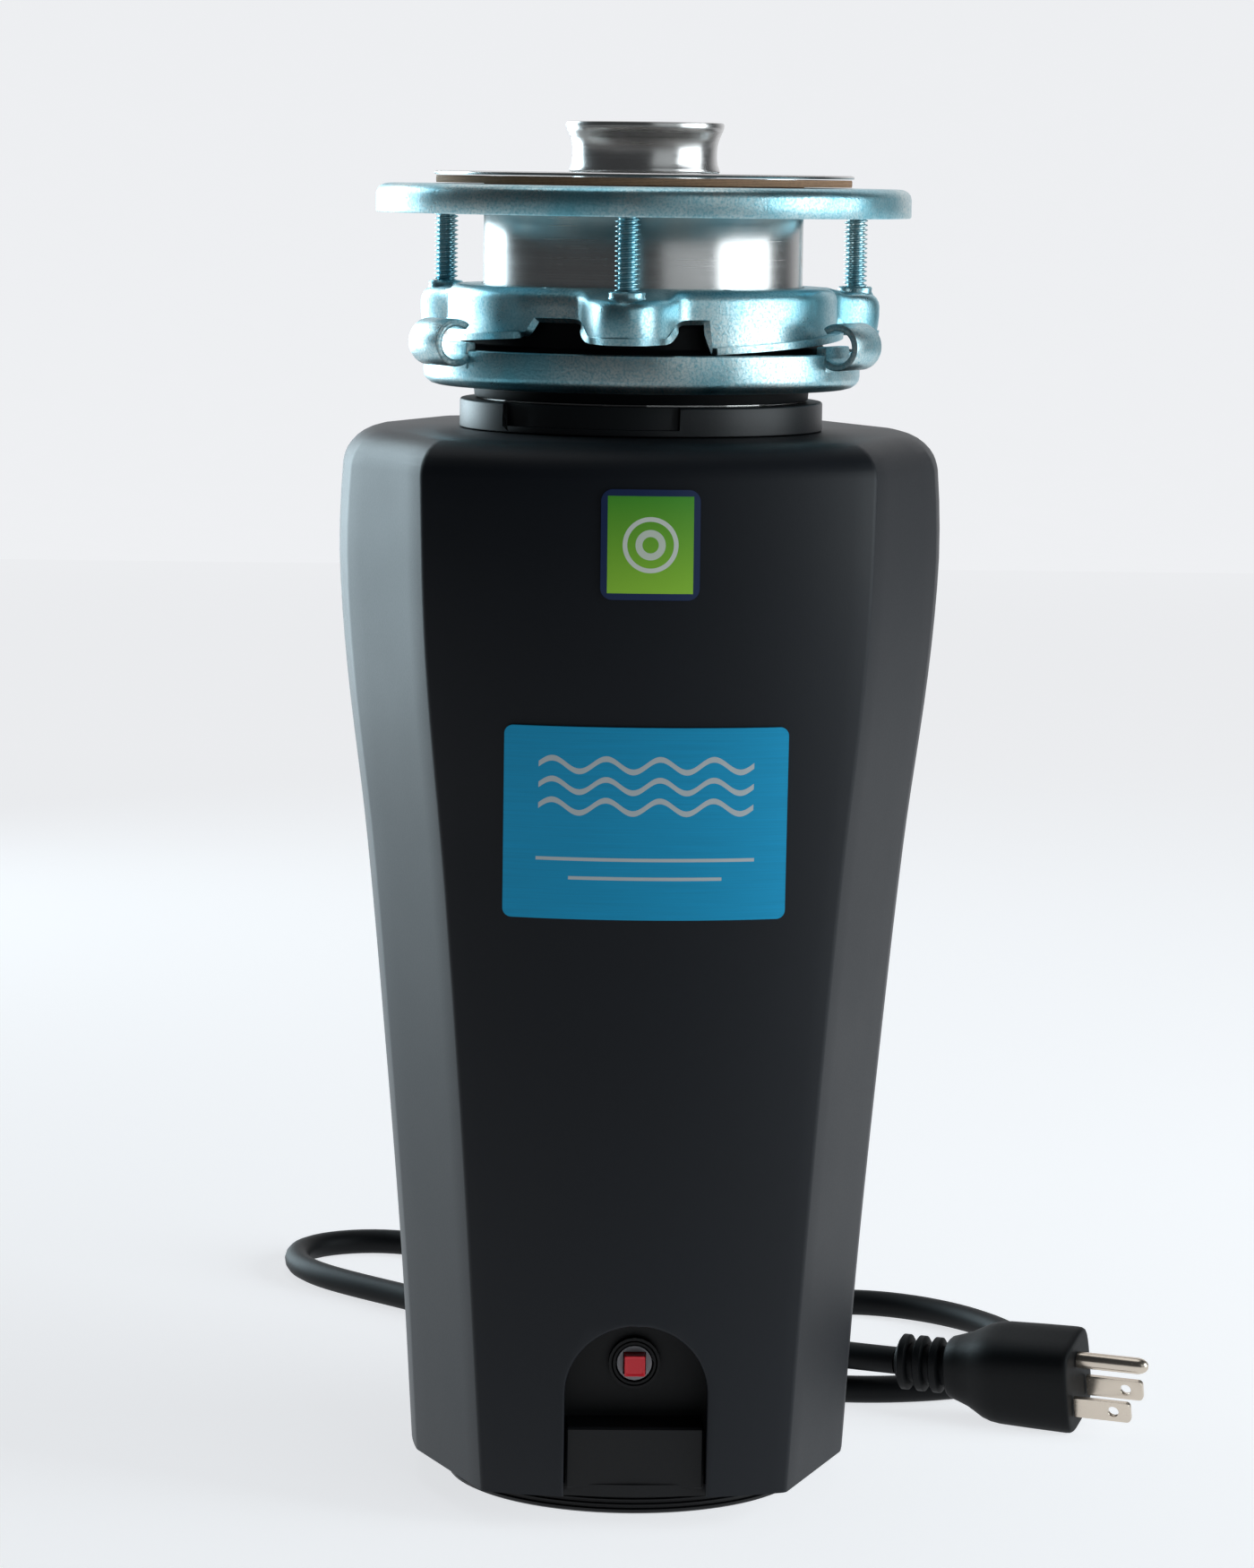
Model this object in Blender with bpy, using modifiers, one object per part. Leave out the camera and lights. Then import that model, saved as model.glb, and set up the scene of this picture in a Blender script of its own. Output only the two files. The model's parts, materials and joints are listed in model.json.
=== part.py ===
"""Under-sink kitchen garbage disposal with its three-screw sink mount, motor, lead and plug.

Metres, +Z up, the motor axis on Z, the floor at z = 0 and the front of the casing towards -Y.
The disposal stands on its round base foot, with the sink flange and its stopper on top.
"""
import math

import bmesh
import bpy
from mathutils import Matrix, Vector

# ---------------------------------------------------------------- driving dimensions (metres)
GAP = 0.0003                    # clearance kept between touching pieces

SHELL_BOTTOM = 0.010
SHELL_TOP = 0.291
SHELL_WALL = 0.003
SHELL_CROWN_R = 0.125           # plan radius of the bowed panels
NECK_HOLE_R = 0.0440
# (height, half width) stations of the casing's side outline
SHELL_SIDE = ((0.010, 0.0602), (0.060, 0.0633), (0.120, 0.0683), (0.180, 0.0740), (0.225, 0.0796),
              (0.255, 0.0819), (0.275, 0.0816), (0.291, 0.0802))
# (height, half width) stations of the front panel between its two vertical edges
SHELL_PANEL = ((0.010, 0.0408), (0.100, 0.0464), (0.172, 0.0519), (0.236, 0.0577), (0.291, 0.0596))
DEPTH_EXTRA_BOTTOM, DEPTH_EXTRA_TOP = 0.0097, 0.0020    # how much deeper the casing is than wide
SIDE_FLAT_BOTTOM, SIDE_FLAT_TOP = 0.020, 0.026          # half length of the side panels

ARCH_HALF_WIDTH = 0.019
ARCH_TOP = 0.057
RESET_Z = 0.043

FLANGE_R = 0.05715              # a 114.3 mm (4.5 in) sink flange
FLANGE_Z = 0.3593
SLEEVE_R, SLEEVE_BORE_R = 0.0435, 0.0420
SLEEVE_BOTTOM = 0.312
BACKUP_R = 0.0727
BACKUP_BOTTOM, BACKUP_TOP = 0.349, 0.3568
UPPER_RING_TOP, UPPER_RING_BOTTOM = 0.330, 0.3185
UPPER_RING_R = 0.053
EAR_R, EAR_TIP_R = 0.066, 0.0075
EAR_ANGLES = (-5.5, 114.5, 234.5)       # degrees from the front towards +X
SCREW_R = 0.0031
LOWER_RING_R = 0.0595
LOWER_RING_BOTTOM, LOWER_RING_TOP = 0.3027, 0.313
LUG_ANGLES = (60.0, 180.0, 300.0)
LUG_R, LUG_WALL, LUG_LENGTH = 0.0063, 0.0019, 0.015
LUG_CENTRE_R, LUG_Z = 0.0625, 0.315

CHAMBER_R, CHAMBER_WALL = 0.0625, 0.002
BELL_BOTTOM, BELL_TOP = 0.1503, 0.2040
BELL_FOOT_R = 0.053
CAN_R, CAN_WALL = 0.0465, 0.002
CAP_TOP = 0.0597
SHAFT_R = 0.004
BORE_R = 0.0043                 # bores that fit round the shaft
BOLT_X = 0.0492
TURNTABLE_Z = 0.206
IMPELLER_ORBIT = 0.033

OUTLET_Z, OUTLET_END = 0.183, 0.083
OUTLET_R, OUTLET_BORE_R = 0.019, 0.0155
ELBOW_BEND_R = 0.028
INLET_Z = 0.245

CORD_R = 0.004
GLAND_X, GLAND_Z, GLAND_END = 0.010, 0.038, 0.103
PLUG_START = Vector((0.0820, 0.0640, 0.0152))
PLUG_TURN, PLUG_ROLL = math.radians(-24.0), math.radians(17.0)
PLUG_LENGTH = 0.055
# The lead's route from its strain relief to the plug, laid on the floor, crossing over itself twice
CORD_ROUTE = (
    (0.010, 0.1039, 0.0380), (0.011, 0.120, 0.0354), (0.017, 0.139, 0.0230), (0.030, 0.160, 0.0105),
    (0.050, 0.177, 0.0052), (0.077, 0.186, 0.0043), (0.104, 0.173, 0.0043), (0.122, 0.146, 0.0043),
    (0.126, 0.115, 0.0043), (0.114, 0.088, 0.0043), (0.090, 0.075, 0.0043), (0.062, 0.074, 0.0043),
    (0.034, 0.086, 0.0043), (0.008, 0.109, 0.0043), (-0.016, 0.134, 0.0043), (-0.040, 0.162, 0.0043),
    (-0.063, 0.188, 0.0043), (-0.084, 0.210, 0.0043), (-0.099, 0.234, 0.0043), (-0.097, 0.260, 0.0043),
    (-0.075, 0.271, 0.0043), (-0.048, 0.258, 0.0043), (-0.025, 0.237, 0.0043), (0.004, 0.218, 0.0055),
    (0.034, 0.201, 0.0115), (0.056, 0.178, 0.0140), (0.064, 0.148, 0.0105), (0.055, 0.119, 0.0095),
    (0.047, 0.098, 0.0126), (0.057, 0.079, 0.0146), (0.0814, 0.0643, 0.0152))
CORD_POINTS = 50

# ---------------------------------------------------------------- finishes (colour, roughness, metallic)
FINISHES = {
    "casing_black": ((0.020, 0.023, 0.027), 0.50, 0.0),
    "collar_grey": ((0.045, 0.047, 0.052), 0.45, 0.0),
    "black_plastic": ((0.012, 0.012, 0.014), 0.45, 0.0),
    "black_rubber": ((0.010, 0.010, 0.011), 0.70, 0.0),
    "zinc_plate": ((0.58, 0.68, 0.72), 0.32, 1.0),
    "stainless": ((0.62, 0.61, 0.60), 0.25, 1.0),
    "fibre": ((0.30, 0.16, 0.08), 0.85, 0.0),
    "cast_metal": ((0.45, 0.46, 0.47), 0.50, 1.0),
    "steel": ((0.50, 0.50, 0.52), 0.35, 1.0),
    "copper": ((0.72, 0.32, 0.16), 0.35, 1.0),
    "carbon": ((0.05, 0.05, 0.05), 0.60, 0.0),
    "magnet": ((0.09, 0.09, 0.10), 0.55, 0.0),
    "grey_plastic": ((0.35, 0.36, 0.38), 0.50, 0.0),
    "red_plastic": ((0.55, 0.02, 0.03), 0.35, 0.0),
    "teal_label": ((0.02, 0.22, 0.30), 0.35, 0.3),
    "green_badge": ((0.10, 0.45, 0.06), 0.35, 0.0),
    "nickel": ((0.66, 0.60, 0.53), 0.25, 1.0),
}


# ---------------------------------------------------------------- scene helpers
def clear_scene():
    """Remove every object, so the script starts from an empty scene."""
    for obj in list(bpy.data.objects):
        bpy.data.objects.remove(obj, do_unlink=True)


def new_collection(name):
    """Make a collection under the scene."""
    made = bpy.data.collections.new(name)
    bpy.context.scene.collection.children.link(made)
    return made


def finish(name):
    """Return the named finish as a Principled material."""
    found = bpy.data.materials.get(name)
    if found:
        return found
    colour, roughness, metallic = FINISHES[name]
    made = bpy.data.materials.new(name)
    made.use_nodes = True
    shader = made.node_tree.nodes["Principled BSDF"]
    shader.inputs["Base Color"].default_value = (*colour, 1.0)
    shader.inputs["Roughness"].default_value = roughness
    shader.inputs["Metallic"].default_value = metallic
    return made


def add_part(name, mesh, finish_name):
    """Link a mesh as a named sub-part with its finish."""
    obj = bpy.data.objects.new(name, mesh)
    mesh.materials.append(finish(finish_name))
    PARTS.objects.link(obj)
    return obj


def add_cutter(name, mesh):
    """Link a mesh as a hidden tool for a Boolean modifier."""
    obj = bpy.data.objects.new(name, mesh)
    CUTTERS.objects.link(obj)
    obj.hide_render = True
    obj.display_type = "WIRE"
    return obj


def boolean(obj, tool, operation="DIFFERENCE"):
    """Cut or join a sub-part with a tool object."""
    step = obj.modifiers.new(tool.name, "BOOLEAN")
    step.operation = operation
    step.solver = "EXACT"
    step.object = tool
    return obj


def smooth_sharp(mesh, degrees=35.0):
    """Shade a mesh smooth with its hard edges kept sharp."""
    mesh.shade_smooth()
    mesh.set_sharp_from_angle(angle=math.radians(degrees))


def mesh_from(name, bm):
    """Turn a bmesh into a mesh with outward normals."""
    bmesh.ops.recalc_face_normals(bm, faces=bm.faces)
    mesh = bpy.data.meshes.new(name)
    bm.to_mesh(mesh)
    bm.free()
    smooth_sharp(mesh)
    return mesh


def aim(axis):
    """Rotation that turns +Z to the given axis."""
    return Vector((0, 0, 1)).rotation_difference(Vector(axis)).to_matrix().to_4x4()


# ---------------------------------------------------------------- shape helpers
def box_mesh(name, low, high, bevel=0.0, turn=None):
    """A box between two corners, with its edges bevelled."""
    low, high = Vector(low), Vector(high)
    bm = bmesh.new()
    bmesh.ops.create_cube(bm, size=1.0)
    bmesh.ops.scale(bm, vec=high - low, verts=bm.verts)
    if bevel:
        bmesh.ops.bevel(bm, geom=bm.edges, offset=bevel, segments=1, affect="EDGES")
    place = Matrix.Translation((low + high) / 2)
    bmesh.ops.transform(bm, matrix=(turn or Matrix()) @ place, verts=bm.verts)
    return mesh_from(name, bm)


def rod_mesh(name, start, axis, radius, length, sides=20):
    """A round bar from a start point along an axis."""
    bm = bmesh.new()
    bmesh.ops.create_cone(bm, cap_ends=True, segments=sides, radius1=radius, radius2=radius, depth=length)
    place = Matrix.Translation(Vector(start)) @ aim(axis) @ Matrix.Translation((0, 0, length / 2))
    bmesh.ops.transform(bm, matrix=place, verts=bm.verts)
    return mesh_from(name, bm)


def turned(name, profile, finish_name, steps=24, at=(0, 0, 0), axis=(0, 0, 1)):
    """A turned piece: (radius, height) points that run down the outside, then up the bore."""
    touches_axis = profile[0][0] == 0.0
    bm = bmesh.new()
    verts = [bm.verts.new((radius, 0.0, height)) for radius, height in profile]
    for first, second in zip(verts, verts[1:]):
        bm.edges.new((first, second))
    if not touches_axis:
        bm.edges.new((verts[-1], verts[0]))
    mesh = bpy.data.meshes.new(name)
    bm.to_mesh(mesh)
    bm.free()
    obj = add_part(name, mesh, finish_name)
    obj.location = at
    obj.rotation_euler = aim(axis).to_euler()
    screw = obj.modifiers.new("turn", "SCREW")
    screw.axis = "Z"
    screw.angle = math.tau
    screw.steps = screw.render_steps = steps
    screw.use_merge_vertices = True
    screw.merge_threshold = 0.00001
    screw.use_smooth_shade = False
    return obj


def ring(name, outer, inner, bottom, top, finish_name, steps=24, at=(0, 0, 0), axis=(0, 0, 1)):
    """A plain ring between two radii and two heights."""
    profile = ((outer, top), (outer, bottom), (inner, bottom), (inner, top))
    return turned(name, profile, finish_name, steps, at, axis)


def loft_mesh(name, rings, cap=True):
    """Skin closed rings of points, and cap both ends."""
    bm = bmesh.new()
    rows = [[bm.verts.new(point) for point in points] for points in rings]
    for lower, upper in zip(rows, rows[1:]):
        for index, vert in enumerate(lower):
            after = (index + 1) % len(lower)
            bm.faces.new((vert, lower[after], upper[after], upper[index]))
    if cap:
        bm.faces.new(rows[0])
        bm.faces.new(rows[-1])
    return mesh_from(name, bm)


def prism_mesh(name, outline, low, high, place=None):
    """Extrude a closed XY outline from one height to another."""
    rings = [[(x, y, z) for x, y in outline] for z in (low, high)]
    mesh = loft_mesh(name, rings)
    if place:
        mesh.transform(place)
    return mesh


def tube_mesh(name, points, radius, resolution=3):
    """A solid bar that follows points, as a closed mesh with welded caps."""
    curve = bpy.data.curves.new(name, "CURVE")
    curve.dimensions = "3D"
    curve.bevel_depth = radius
    curve.bevel_resolution = resolution
    curve.use_fill_caps = True
    spline = curve.splines.new("POLY")
    spline.points.add(len(points) - 1)
    for point, place in zip(spline.points, points):
        point.co = (*place, 1.0)
    obj = bpy.data.objects.new(name, curve)
    bpy.context.scene.collection.objects.link(obj)
    graph = bpy.context.evaluated_depsgraph_get()
    mesh = bpy.data.meshes.new_from_object(obj.evaluated_get(graph))
    bm = bmesh.new()
    bm.from_mesh(mesh)
    bmesh.ops.remove_doubles(bm, verts=bm.verts, dist=0.00001)
    bpy.data.objects.remove(obj, do_unlink=True)
    return mesh_from(name, bm)


def through(stations, height):
    """Read a smooth curve through (height, value) stations at a height."""
    last = len(stations) - 1
    index = 0
    while index < last - 1 and height > stations[index + 1][0]:
        index += 1
    (z0, v0), (z1, v1) = stations[index], stations[index + 1]
    zb, vb = stations[max(index - 1, 0)]
    za, va = stations[min(index + 2, last)]
    slope0 = (v1 - vb) / (z1 - zb)
    slope1 = (va - v0) / (za - z0)
    t = (height - z0) / (z1 - z0)
    span = z1 - z0
    return ((2 * t**3 - 3 * t**2 + 1) * v0 + (t**3 - 2 * t**2 + t) * span * slope0
            + (3 * t**2 - 2 * t**3) * v1 + (t**3 - t**2) * span * slope1)


def smooth_route(points, count):
    """Natural cubic curve through points, read at evenly spaced steps along its length."""
    points = [Vector(point) for point in points]
    knots = [0.0]
    for first, second in zip(points, points[1:]):
        knots.append(knots[-1] + math.sqrt((second - first).length))
    spans = [after - before for before, after in zip(knots, knots[1:])]
    size = len(points)
    upper, rest = [0.0] * size, [Vector()] * size
    for i in range(1, size - 1):
        bend = 6 * ((points[i + 1] - points[i]) / spans[i] - (points[i] - points[i - 1]) / spans[i - 1])
        pivot = 2 * (spans[i - 1] + spans[i]) - spans[i - 1] * upper[i - 1]
        upper[i] = spans[i] / pivot
        rest[i] = (bend - spans[i - 1] * rest[i - 1]) / pivot
    bends = [Vector()] * size
    for i in range(size - 2, 0, -1):
        bends[i] = rest[i] - upper[i] * bends[i + 1]
    fine = []
    for i, span in enumerate(spans):
        start = (points[i + 1] - points[i]) / span - span * (2 * bends[i] + bends[i + 1]) / 6
        for step in range(20):
            t = span * step / 20
            fine.append(points[i] + start * t + bends[i] * t * t / 2
                        + (bends[i + 1] - bends[i]) * t**3 / (6 * span))
    fine.append(points[-1])
    lengths = [0.0]
    for first, second in zip(fine, fine[1:]):
        lengths.append(lengths[-1] + (second - first).length)
    route, index = [], 0
    for number in range(count):
        target = lengths[-1] * number / (count - 1)
        while index < len(fine) - 2 and lengths[index + 1] < target:
            index += 1
        share = (target - lengths[index]) / (lengths[index + 1] - lengths[index])
        route.append(fine[index].lerp(fine[index + 1], min(share, 1.0)))
    return route


def around(degrees, radius, height=0.0):
    """A point at an angle from the front, counted towards +X."""
    angle = math.radians(degrees)
    return Vector((radius * math.sin(angle), -radius * math.cos(angle), height))


# ---------------------------------------------------------------- the casing
def half_depth(height):
    """Distance from the axis to the crown of the front panel."""
    share = (height - SHELL_BOTTOM) / (SHELL_TOP - SHELL_BOTTOM)
    return through(SHELL_SIDE, height) + DEPTH_EXTRA_BOTTOM + share * (DEPTH_EXTRA_TOP - DEPTH_EXTRA_BOTTOM)


def front_y(x, height):
    """The casing's front surface: Y at a place across the bowed panel."""
    bow = SHELL_CROWN_R - math.sqrt(SHELL_CROWN_R**2 - x * x)
    return -(half_depth(height) - bow)


def casing_section(height, inset=0.0):
    """The casing's eight-sided outline at a height, from the front and counter-clockwise."""
    share = (height - SHELL_BOTTOM) / (SHELL_TOP - SHELL_BOTTOM)
    panel = through(SHELL_PANEL, height)
    flat = SIDE_FLAT_BOTTOM + share * (SIDE_FLAT_TOP - SIDE_FLAT_BOTTOM)
    side = through(SHELL_SIDE, height)
    bow = SHELL_CROWN_R - math.sqrt(SHELL_CROWN_R**2 - flat * flat)
    quarter = [(panel * step / 4, front_y(panel * step / 4, height)) for step in range(5)]
    corner = (side - bow, -flat)
    edge = quarter[-1]
    quarter.append(((edge[0] + corner[0]) / 2, (edge[1] + corner[1]) / 2))
    for step in (1.0, 0.5):
        y = -flat * step
        quarter.append((side - (SHELL_CROWN_R - math.sqrt(SHELL_CROWN_R**2 - y * y)), y))
    quarter.append((side, 0.0))
    right = quarter + [(x, -y) for x, y in reversed(quarter[:-1])]
    outline = right + [(-x, y) for x, y in reversed(right[1:-1])]
    shrink = 1.0 - inset / side
    return [(x * shrink, y * shrink, height) for x, y in outline]


def make_casing():
    """The moulded black casing, open below, with the neck hole, the arch and the rear holes."""
    rings = [casing_section(z) for z in (0.010, 0.060, 0.115, 0.165, 0.205, 0.235, 0.262, 0.2815)]
    rings.append(casing_section(0.2870, 0.0018))
    rings.append(casing_section(0.2900, 0.0050))
    rings.append(casing_section(SHELL_TOP, 0.0100))
    top = rings[-1]
    angles = [math.atan2(y, x) for x, y, _ in top]
    rings.append([(NECK_HOLE_R * math.cos(a), NECK_HOLE_R * math.sin(a), SHELL_TOP) for a in angles])
    shell = add_part("outer_shell", loft_mesh("outer_shell", rings, cap=False), "casing_black")
    wall = shell.modifiers.new("wall", "SOLIDIFY")
    wall.thickness = SHELL_WALL
    wall.offset = -1.0
    wall.use_even_offset = True
    spring = ARCH_TOP - ARCH_HALF_WIDTH
    outline = [(-ARCH_HALF_WIDTH, -0.02)]
    for step in range(13):
        angle = math.pi * step / 12
        outline.append((-ARCH_HALF_WIDTH * math.cos(angle), spring + ARCH_HALF_WIDTH * math.sin(angle)))
    outline.append((ARCH_HALF_WIDTH, -0.02))
    stand_up = Matrix.Rotation(math.radians(90), 4, "X")
    arch = prism_mesh("arch_cutter", outline, 0.055, 0.095, stand_up)
    boolean(shell, add_cutter("arch_cutter", arch))
    for name, x, z, radius in (("outlet_hole", 0.0, OUTLET_Z, OUTLET_R + 0.0015),
                               ("inlet_hole", 0.0, INLET_Z, 0.0125),
                               ("gland_hole", GLAND_X, GLAND_Z, 0.0076)):
        boolean(shell, add_cutter(name, rod_mesh(name, (x, 0.055, z), (0, 1, 0), radius, 0.06)))


def make_surface_plate(name, centre_z, half_width, half_height, corner, thickness, finish_name):
    """A thin label that follows the bowed front panel."""
    columns, rows = 9, 5
    bm = bmesh.new()
    bmesh.ops.create_grid(bm, x_segments=columns - 1, y_segments=rows - 1, size=1.0)
    for vert in bm.verts:
        x, z = vert.co.x * half_width, centre_z + vert.co.y * half_height
        if abs(vert.co.x) > 0.99 and abs(vert.co.y) > 0.99:
            x -= math.copysign(corner, vert.co.x) * 0.5
            z -= math.copysign(corner, vert.co.y) * 0.5
        vert.co = (x, front_y(x, z) - GAP - thickness, z)
    for face in bm.faces:
        face.normal_update()
        if face.normal.y > 0:
            face.normal_flip()
    mesh = bpy.data.meshes.new(name)
    bm.to_mesh(mesh)
    bm.free()
    obj = add_part(name, mesh, finish_name)
    wall = obj.modifiers.new("wall", "SOLIDIFY")
    wall.thickness = thickness
    wall.offset = -1.0
    return obj


def make_base():
    """The round foot, the bottom cover with its recessed front panel, and the reset switch."""
    turned("base_foot", ((0.0, 0.009), (0.048, 0.009), (0.050, 0.007), (0.050, 0.001), (0.049, 0.0),
                         (0.0, 0.0)), "black_plastic")
    inset = SHELL_WALL + 0.0006
    section = [[(x, y, z) for x, y, _ in casing_section(0.0102, inset)] for z in (0.0093, 0.0125)]
    cover = add_part("base_cover", loft_mesh("base_cover", section), "black_plastic")
    wall = box_mesh("recess_wall", (-0.024, -0.0520, 0.0110), (0.024, -0.0500, 0.0552))
    step = box_mesh("recess_step", (-0.0185, -0.0650, 0.0112), (0.0185, -0.0510, 0.028), 0.0006)
    boolean(cover, add_cutter("recess_wall", wall), "UNION")
    boolean(cover, add_cutter("recess_step", step), "UNION")
    bezel = rod_mesh("reset_bezel", (0, -0.0545, RESET_Z), (0, 1, 0), 0.0070, 0.003)
    boolean(cover, add_cutter("reset_bezel", bezel), "UNION")
    window = rod_mesh("reset_window", (0, -0.060, RESET_Z), (0, 1, 0), 0.0052, 0.016)
    boolean(cover, add_cutter("reset_window", window))
    body = box_mesh("overload_protector", (-0.009, -0.0496, 0.0345), (0.009, -0.0250, 0.0515), 0.0008)
    protector = add_part("overload_protector", body, "grey_plastic")
    snout = rod_mesh("protector_snout", (0, -0.0540, RESET_Z), (0, 1, 0), 0.0047, 0.006)
    boolean(protector, add_cutter("protector_snout", snout), "UNION")
    half = 0.0031
    pocket = box_mesh("button_pocket", (-half, -0.058, RESET_Z - half), (half, -0.0450, RESET_Z + half))
    boolean(protector, add_cutter("button_pocket", pocket))
    half = 0.0028
    button = box_mesh("reset_button", (-half, -0.0040, -half), (half, 0.0040, half), 0.0004)
    press = add_part("reset_button", button, "red_plastic")
    press.location = (0, -0.0540, RESET_Z)


# ---------------------------------------------------------------- the sink mount
def make_sink_flange():
    """The stopper, the sink flange, its sleeve, the fibre gasket, backup ring and snap ring."""
    rim = 0.374
    lift = bpy.data.objects.new("stopper_axis", None)
    lift.location = (0, 0, FLANGE_Z)
    PARTS.objects.link(lift)
    cup = turned("stopper_cup", (
        (0.0, 0.3600), (0.0150, 0.3600), (0.0184, 0.3620), (0.0184, 0.3690), (0.0193, rim), (0.0212, rim),
        (0.0216, rim - 0.0010), (0.0208, rim - 0.0026), (0.0197, 0.3680), (0.0196, 0.3640),
        (0.0204, 0.3616), (0.0196, 0.3596), (0.0196, 0.3560), (0.0380, 0.3545), (0.0380, 0.3505),
        (0.0, 0.3505)), "stainless")
    seal = ring("stopper_seal", 0.0413, 0.0383, 0.3508, 0.3532, "black_rubber")
    for obj in (cup, seal):
        obj.parent = lift
        obj.location = -lift.location
    turned("sink_flange", (
        (0.0560, 0.3603), (FLANGE_R, 0.3600), (FLANGE_R, FLANGE_Z), (0.0440, FLANGE_Z),
        (0.0450, 0.3600)), "stainless")
    ring("flange_sleeve", SLEEVE_R, SLEEVE_BORE_R, SLEEVE_BOTTOM, FLANGE_Z - GAP, "stainless")
    ring("fiber_gasket", 0.0565, 0.0445, BACKUP_TOP + GAP, FLANGE_Z - GAP, "fibre")
    turned("backup_ring", (
        (0.0695, BACKUP_TOP), (0.0716, 0.3559), (BACKUP_R, 0.3540), (BACKUP_R, BACKUP_BOTTOM),
        (0.0706, BACKUP_BOTTOM), (0.0706, 0.3535), (0.0695, 0.3542), (0.0445, 0.3542),
        (0.0445, BACKUP_TOP)), "zinc_plate")
    snap = ring("snap_ring", 0.0462, SLEEVE_R + GAP, 0.3257, 0.3275, "steel")
    gap = box_mesh("snap_gap", (-0.0045, 0.035, 0.320), (0.0045, 0.055, 0.335))
    boolean(snap, add_cutter("snap_gap", gap))


def make_upper_ring():
    """The pressed upper mounting ring, with its three ears, and the three mounting screws."""
    skirt = 0.0020
    upper = turned("upper_mounting_ring", (
        (0.0500, UPPER_RING_TOP), (0.0522, 0.3292), (UPPER_RING_R, 0.3272), (UPPER_RING_R, UPPER_RING_BOTTOM),
        (UPPER_RING_R - skirt, UPPER_RING_BOTTOM), (UPPER_RING_R - skirt, 0.3280), (0.0440, 0.3280),
        (0.0440, UPPER_RING_TOP)), "zinc_plate")
    for number, angle in enumerate(EAR_ANGLES, 1):
        turn = Matrix.Rotation(math.radians(angle), 4, "Z")
        centre = around(angle, EAR_R)
        half = EAR_TIP_R
        web = box_mesh(f"ear_web_{number}", (-half, -EAR_R, 0.3178), (half, -0.0520, 0.3276), 0, turn)
        boolean(upper, add_cutter(f"ear_web_{number}", web), "UNION")
        ear = rod_mesh(f"ear_{number}", centre + Vector((0, 0, 0.3178)), (0, 0, 1), EAR_TIP_R, 0.0098)
        boolean(upper, add_cutter(f"ear_{number}", ear), "UNION")
        boss = rod_mesh(f"boss_{number}", centre + Vector((0, 0, 0.3270)), (0, 0, 1), 0.0046, 0.0027, 16)
        boolean(upper, add_cutter(f"boss_{number}", boss), "UNION")
        hole = rod_mesh(f"screw_hole_{number}", centre + Vector((0, 0, 0.310)), (0, 0, 1), 0.0035, 0.03, 16)
        boolean(upper, add_cutter(f"screw_hole_{number}", hole))
        turned(f"mounting_screw_{number}", (
            (0.0, 0.3539), (0.0022, 0.3539), (SCREW_R, 0.3529), (SCREW_R, 0.3190),
            (0.0024, 0.3180), (0.0, 0.3180)), "zinc_plate", 16, centre)
    window = box_mesh("skirt_window", (-0.028, -0.060, 0.3150), (0.019, -0.040, 0.3222))
    boolean(upper, add_cutter("skirt_window", window))


def make_lower_ring():
    """The lower mounting ring with its three rolled lugs."""
    outer, wall = LOWER_RING_R, 0.0019
    lower = turned("lower_mounting_ring", (
        (outer - wall * 0.5, LOWER_RING_TOP), (outer, 0.3126), (outer, 0.3055), (0.0585, 0.3037),
        (0.0565, LOWER_RING_BOTTOM), (0.0466, LOWER_RING_BOTTOM), (0.0466, 0.3045), (0.0562, 0.3045),
        (outer - wall, 0.3060), (outer - wall, LOWER_RING_TOP)), "zinc_plate")
    steps = 11
    sweep = [math.radians(200 - 290 * step / (steps - 1)) for step in range(steps)]
    outline = [(LUG_R * math.cos(a), LUG_R * math.sin(a)) for a in sweep]
    inner = LUG_R - LUG_WALL
    outline += [(inner * math.cos(a), inner * math.sin(a)) for a in reversed(sweep)]
    for number, angle in enumerate(LUG_ANGLES, 1):
        lie_down = Matrix.Rotation(math.radians(90), 4, "X")
        turn = Matrix.Rotation(math.radians(angle - 90), 4, "Z")
        place = turn @ Matrix.Translation((LUG_CENTRE_R, 0, LUG_Z)) @ lie_down
        lug = prism_mesh(f"lug_{number}", outline, -LUG_LENGTH / 2, LUG_LENGTH / 2, place)
        boolean(lower, add_cutter(f"lug_{number}", lug), "UNION")
        half = LUG_LENGTH / 2
        ledge = box_mesh(f"lug_root_{number}", (0.0563, -half * 0.97, 0.3080),
                         (0.0591, half * 0.97, 0.3148), 0, turn)
        boolean(lower, add_cutter(f"lug_root_{number}", ledge), "UNION")


def make_neck():
    """The rubber mounting gasket, the splash guard and the collar on top of the casing."""
    turned("mounting_gasket", (
        (0.0493, 0.3215), (0.0493, 0.3140), (0.0562, 0.3120), (0.0562, 0.3068), (0.0545, 0.3049),
        (0.0460, 0.3049), (0.0455, 0.2994), (0.0436, 0.2994), (0.0436, 0.3064), (0.0408, 0.3064),
        (0.0408, 0.3114), (0.0442, 0.3117), (0.0442, 0.3215)), "black_rubber")
    guard = ring("splash_guard", 0.0404, 0.0090, 0.3066, 0.3081, "black_rubber")
    for number in range(4):
        turn = Matrix.Rotation(math.radians(45 * number), 4, "Z")
        slit = box_mesh(f"guard_slit_{number}", (-0.033, -0.0004, 0.300), (0.033, 0.0004, 0.312), 0, turn)
        boolean(guard, add_cutter(f"guard_slit_{number}", slit))
    collar = ring("neck_collar", 0.0495, 0.0440, SHELL_TOP + GAP, 0.2990, "collar_grey")
    outline = [tuple(around(angle, radius).xy) for radius, angles in (
        (0.0480, range(-50, 11, 10)), (0.0530, range(10, -51, -10))) for angle in angles]
    recess = prism_mesh("collar_recess", outline, 0.2930, 0.3050)
    boolean(collar, add_cutter("collar_recess", recess))


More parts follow.
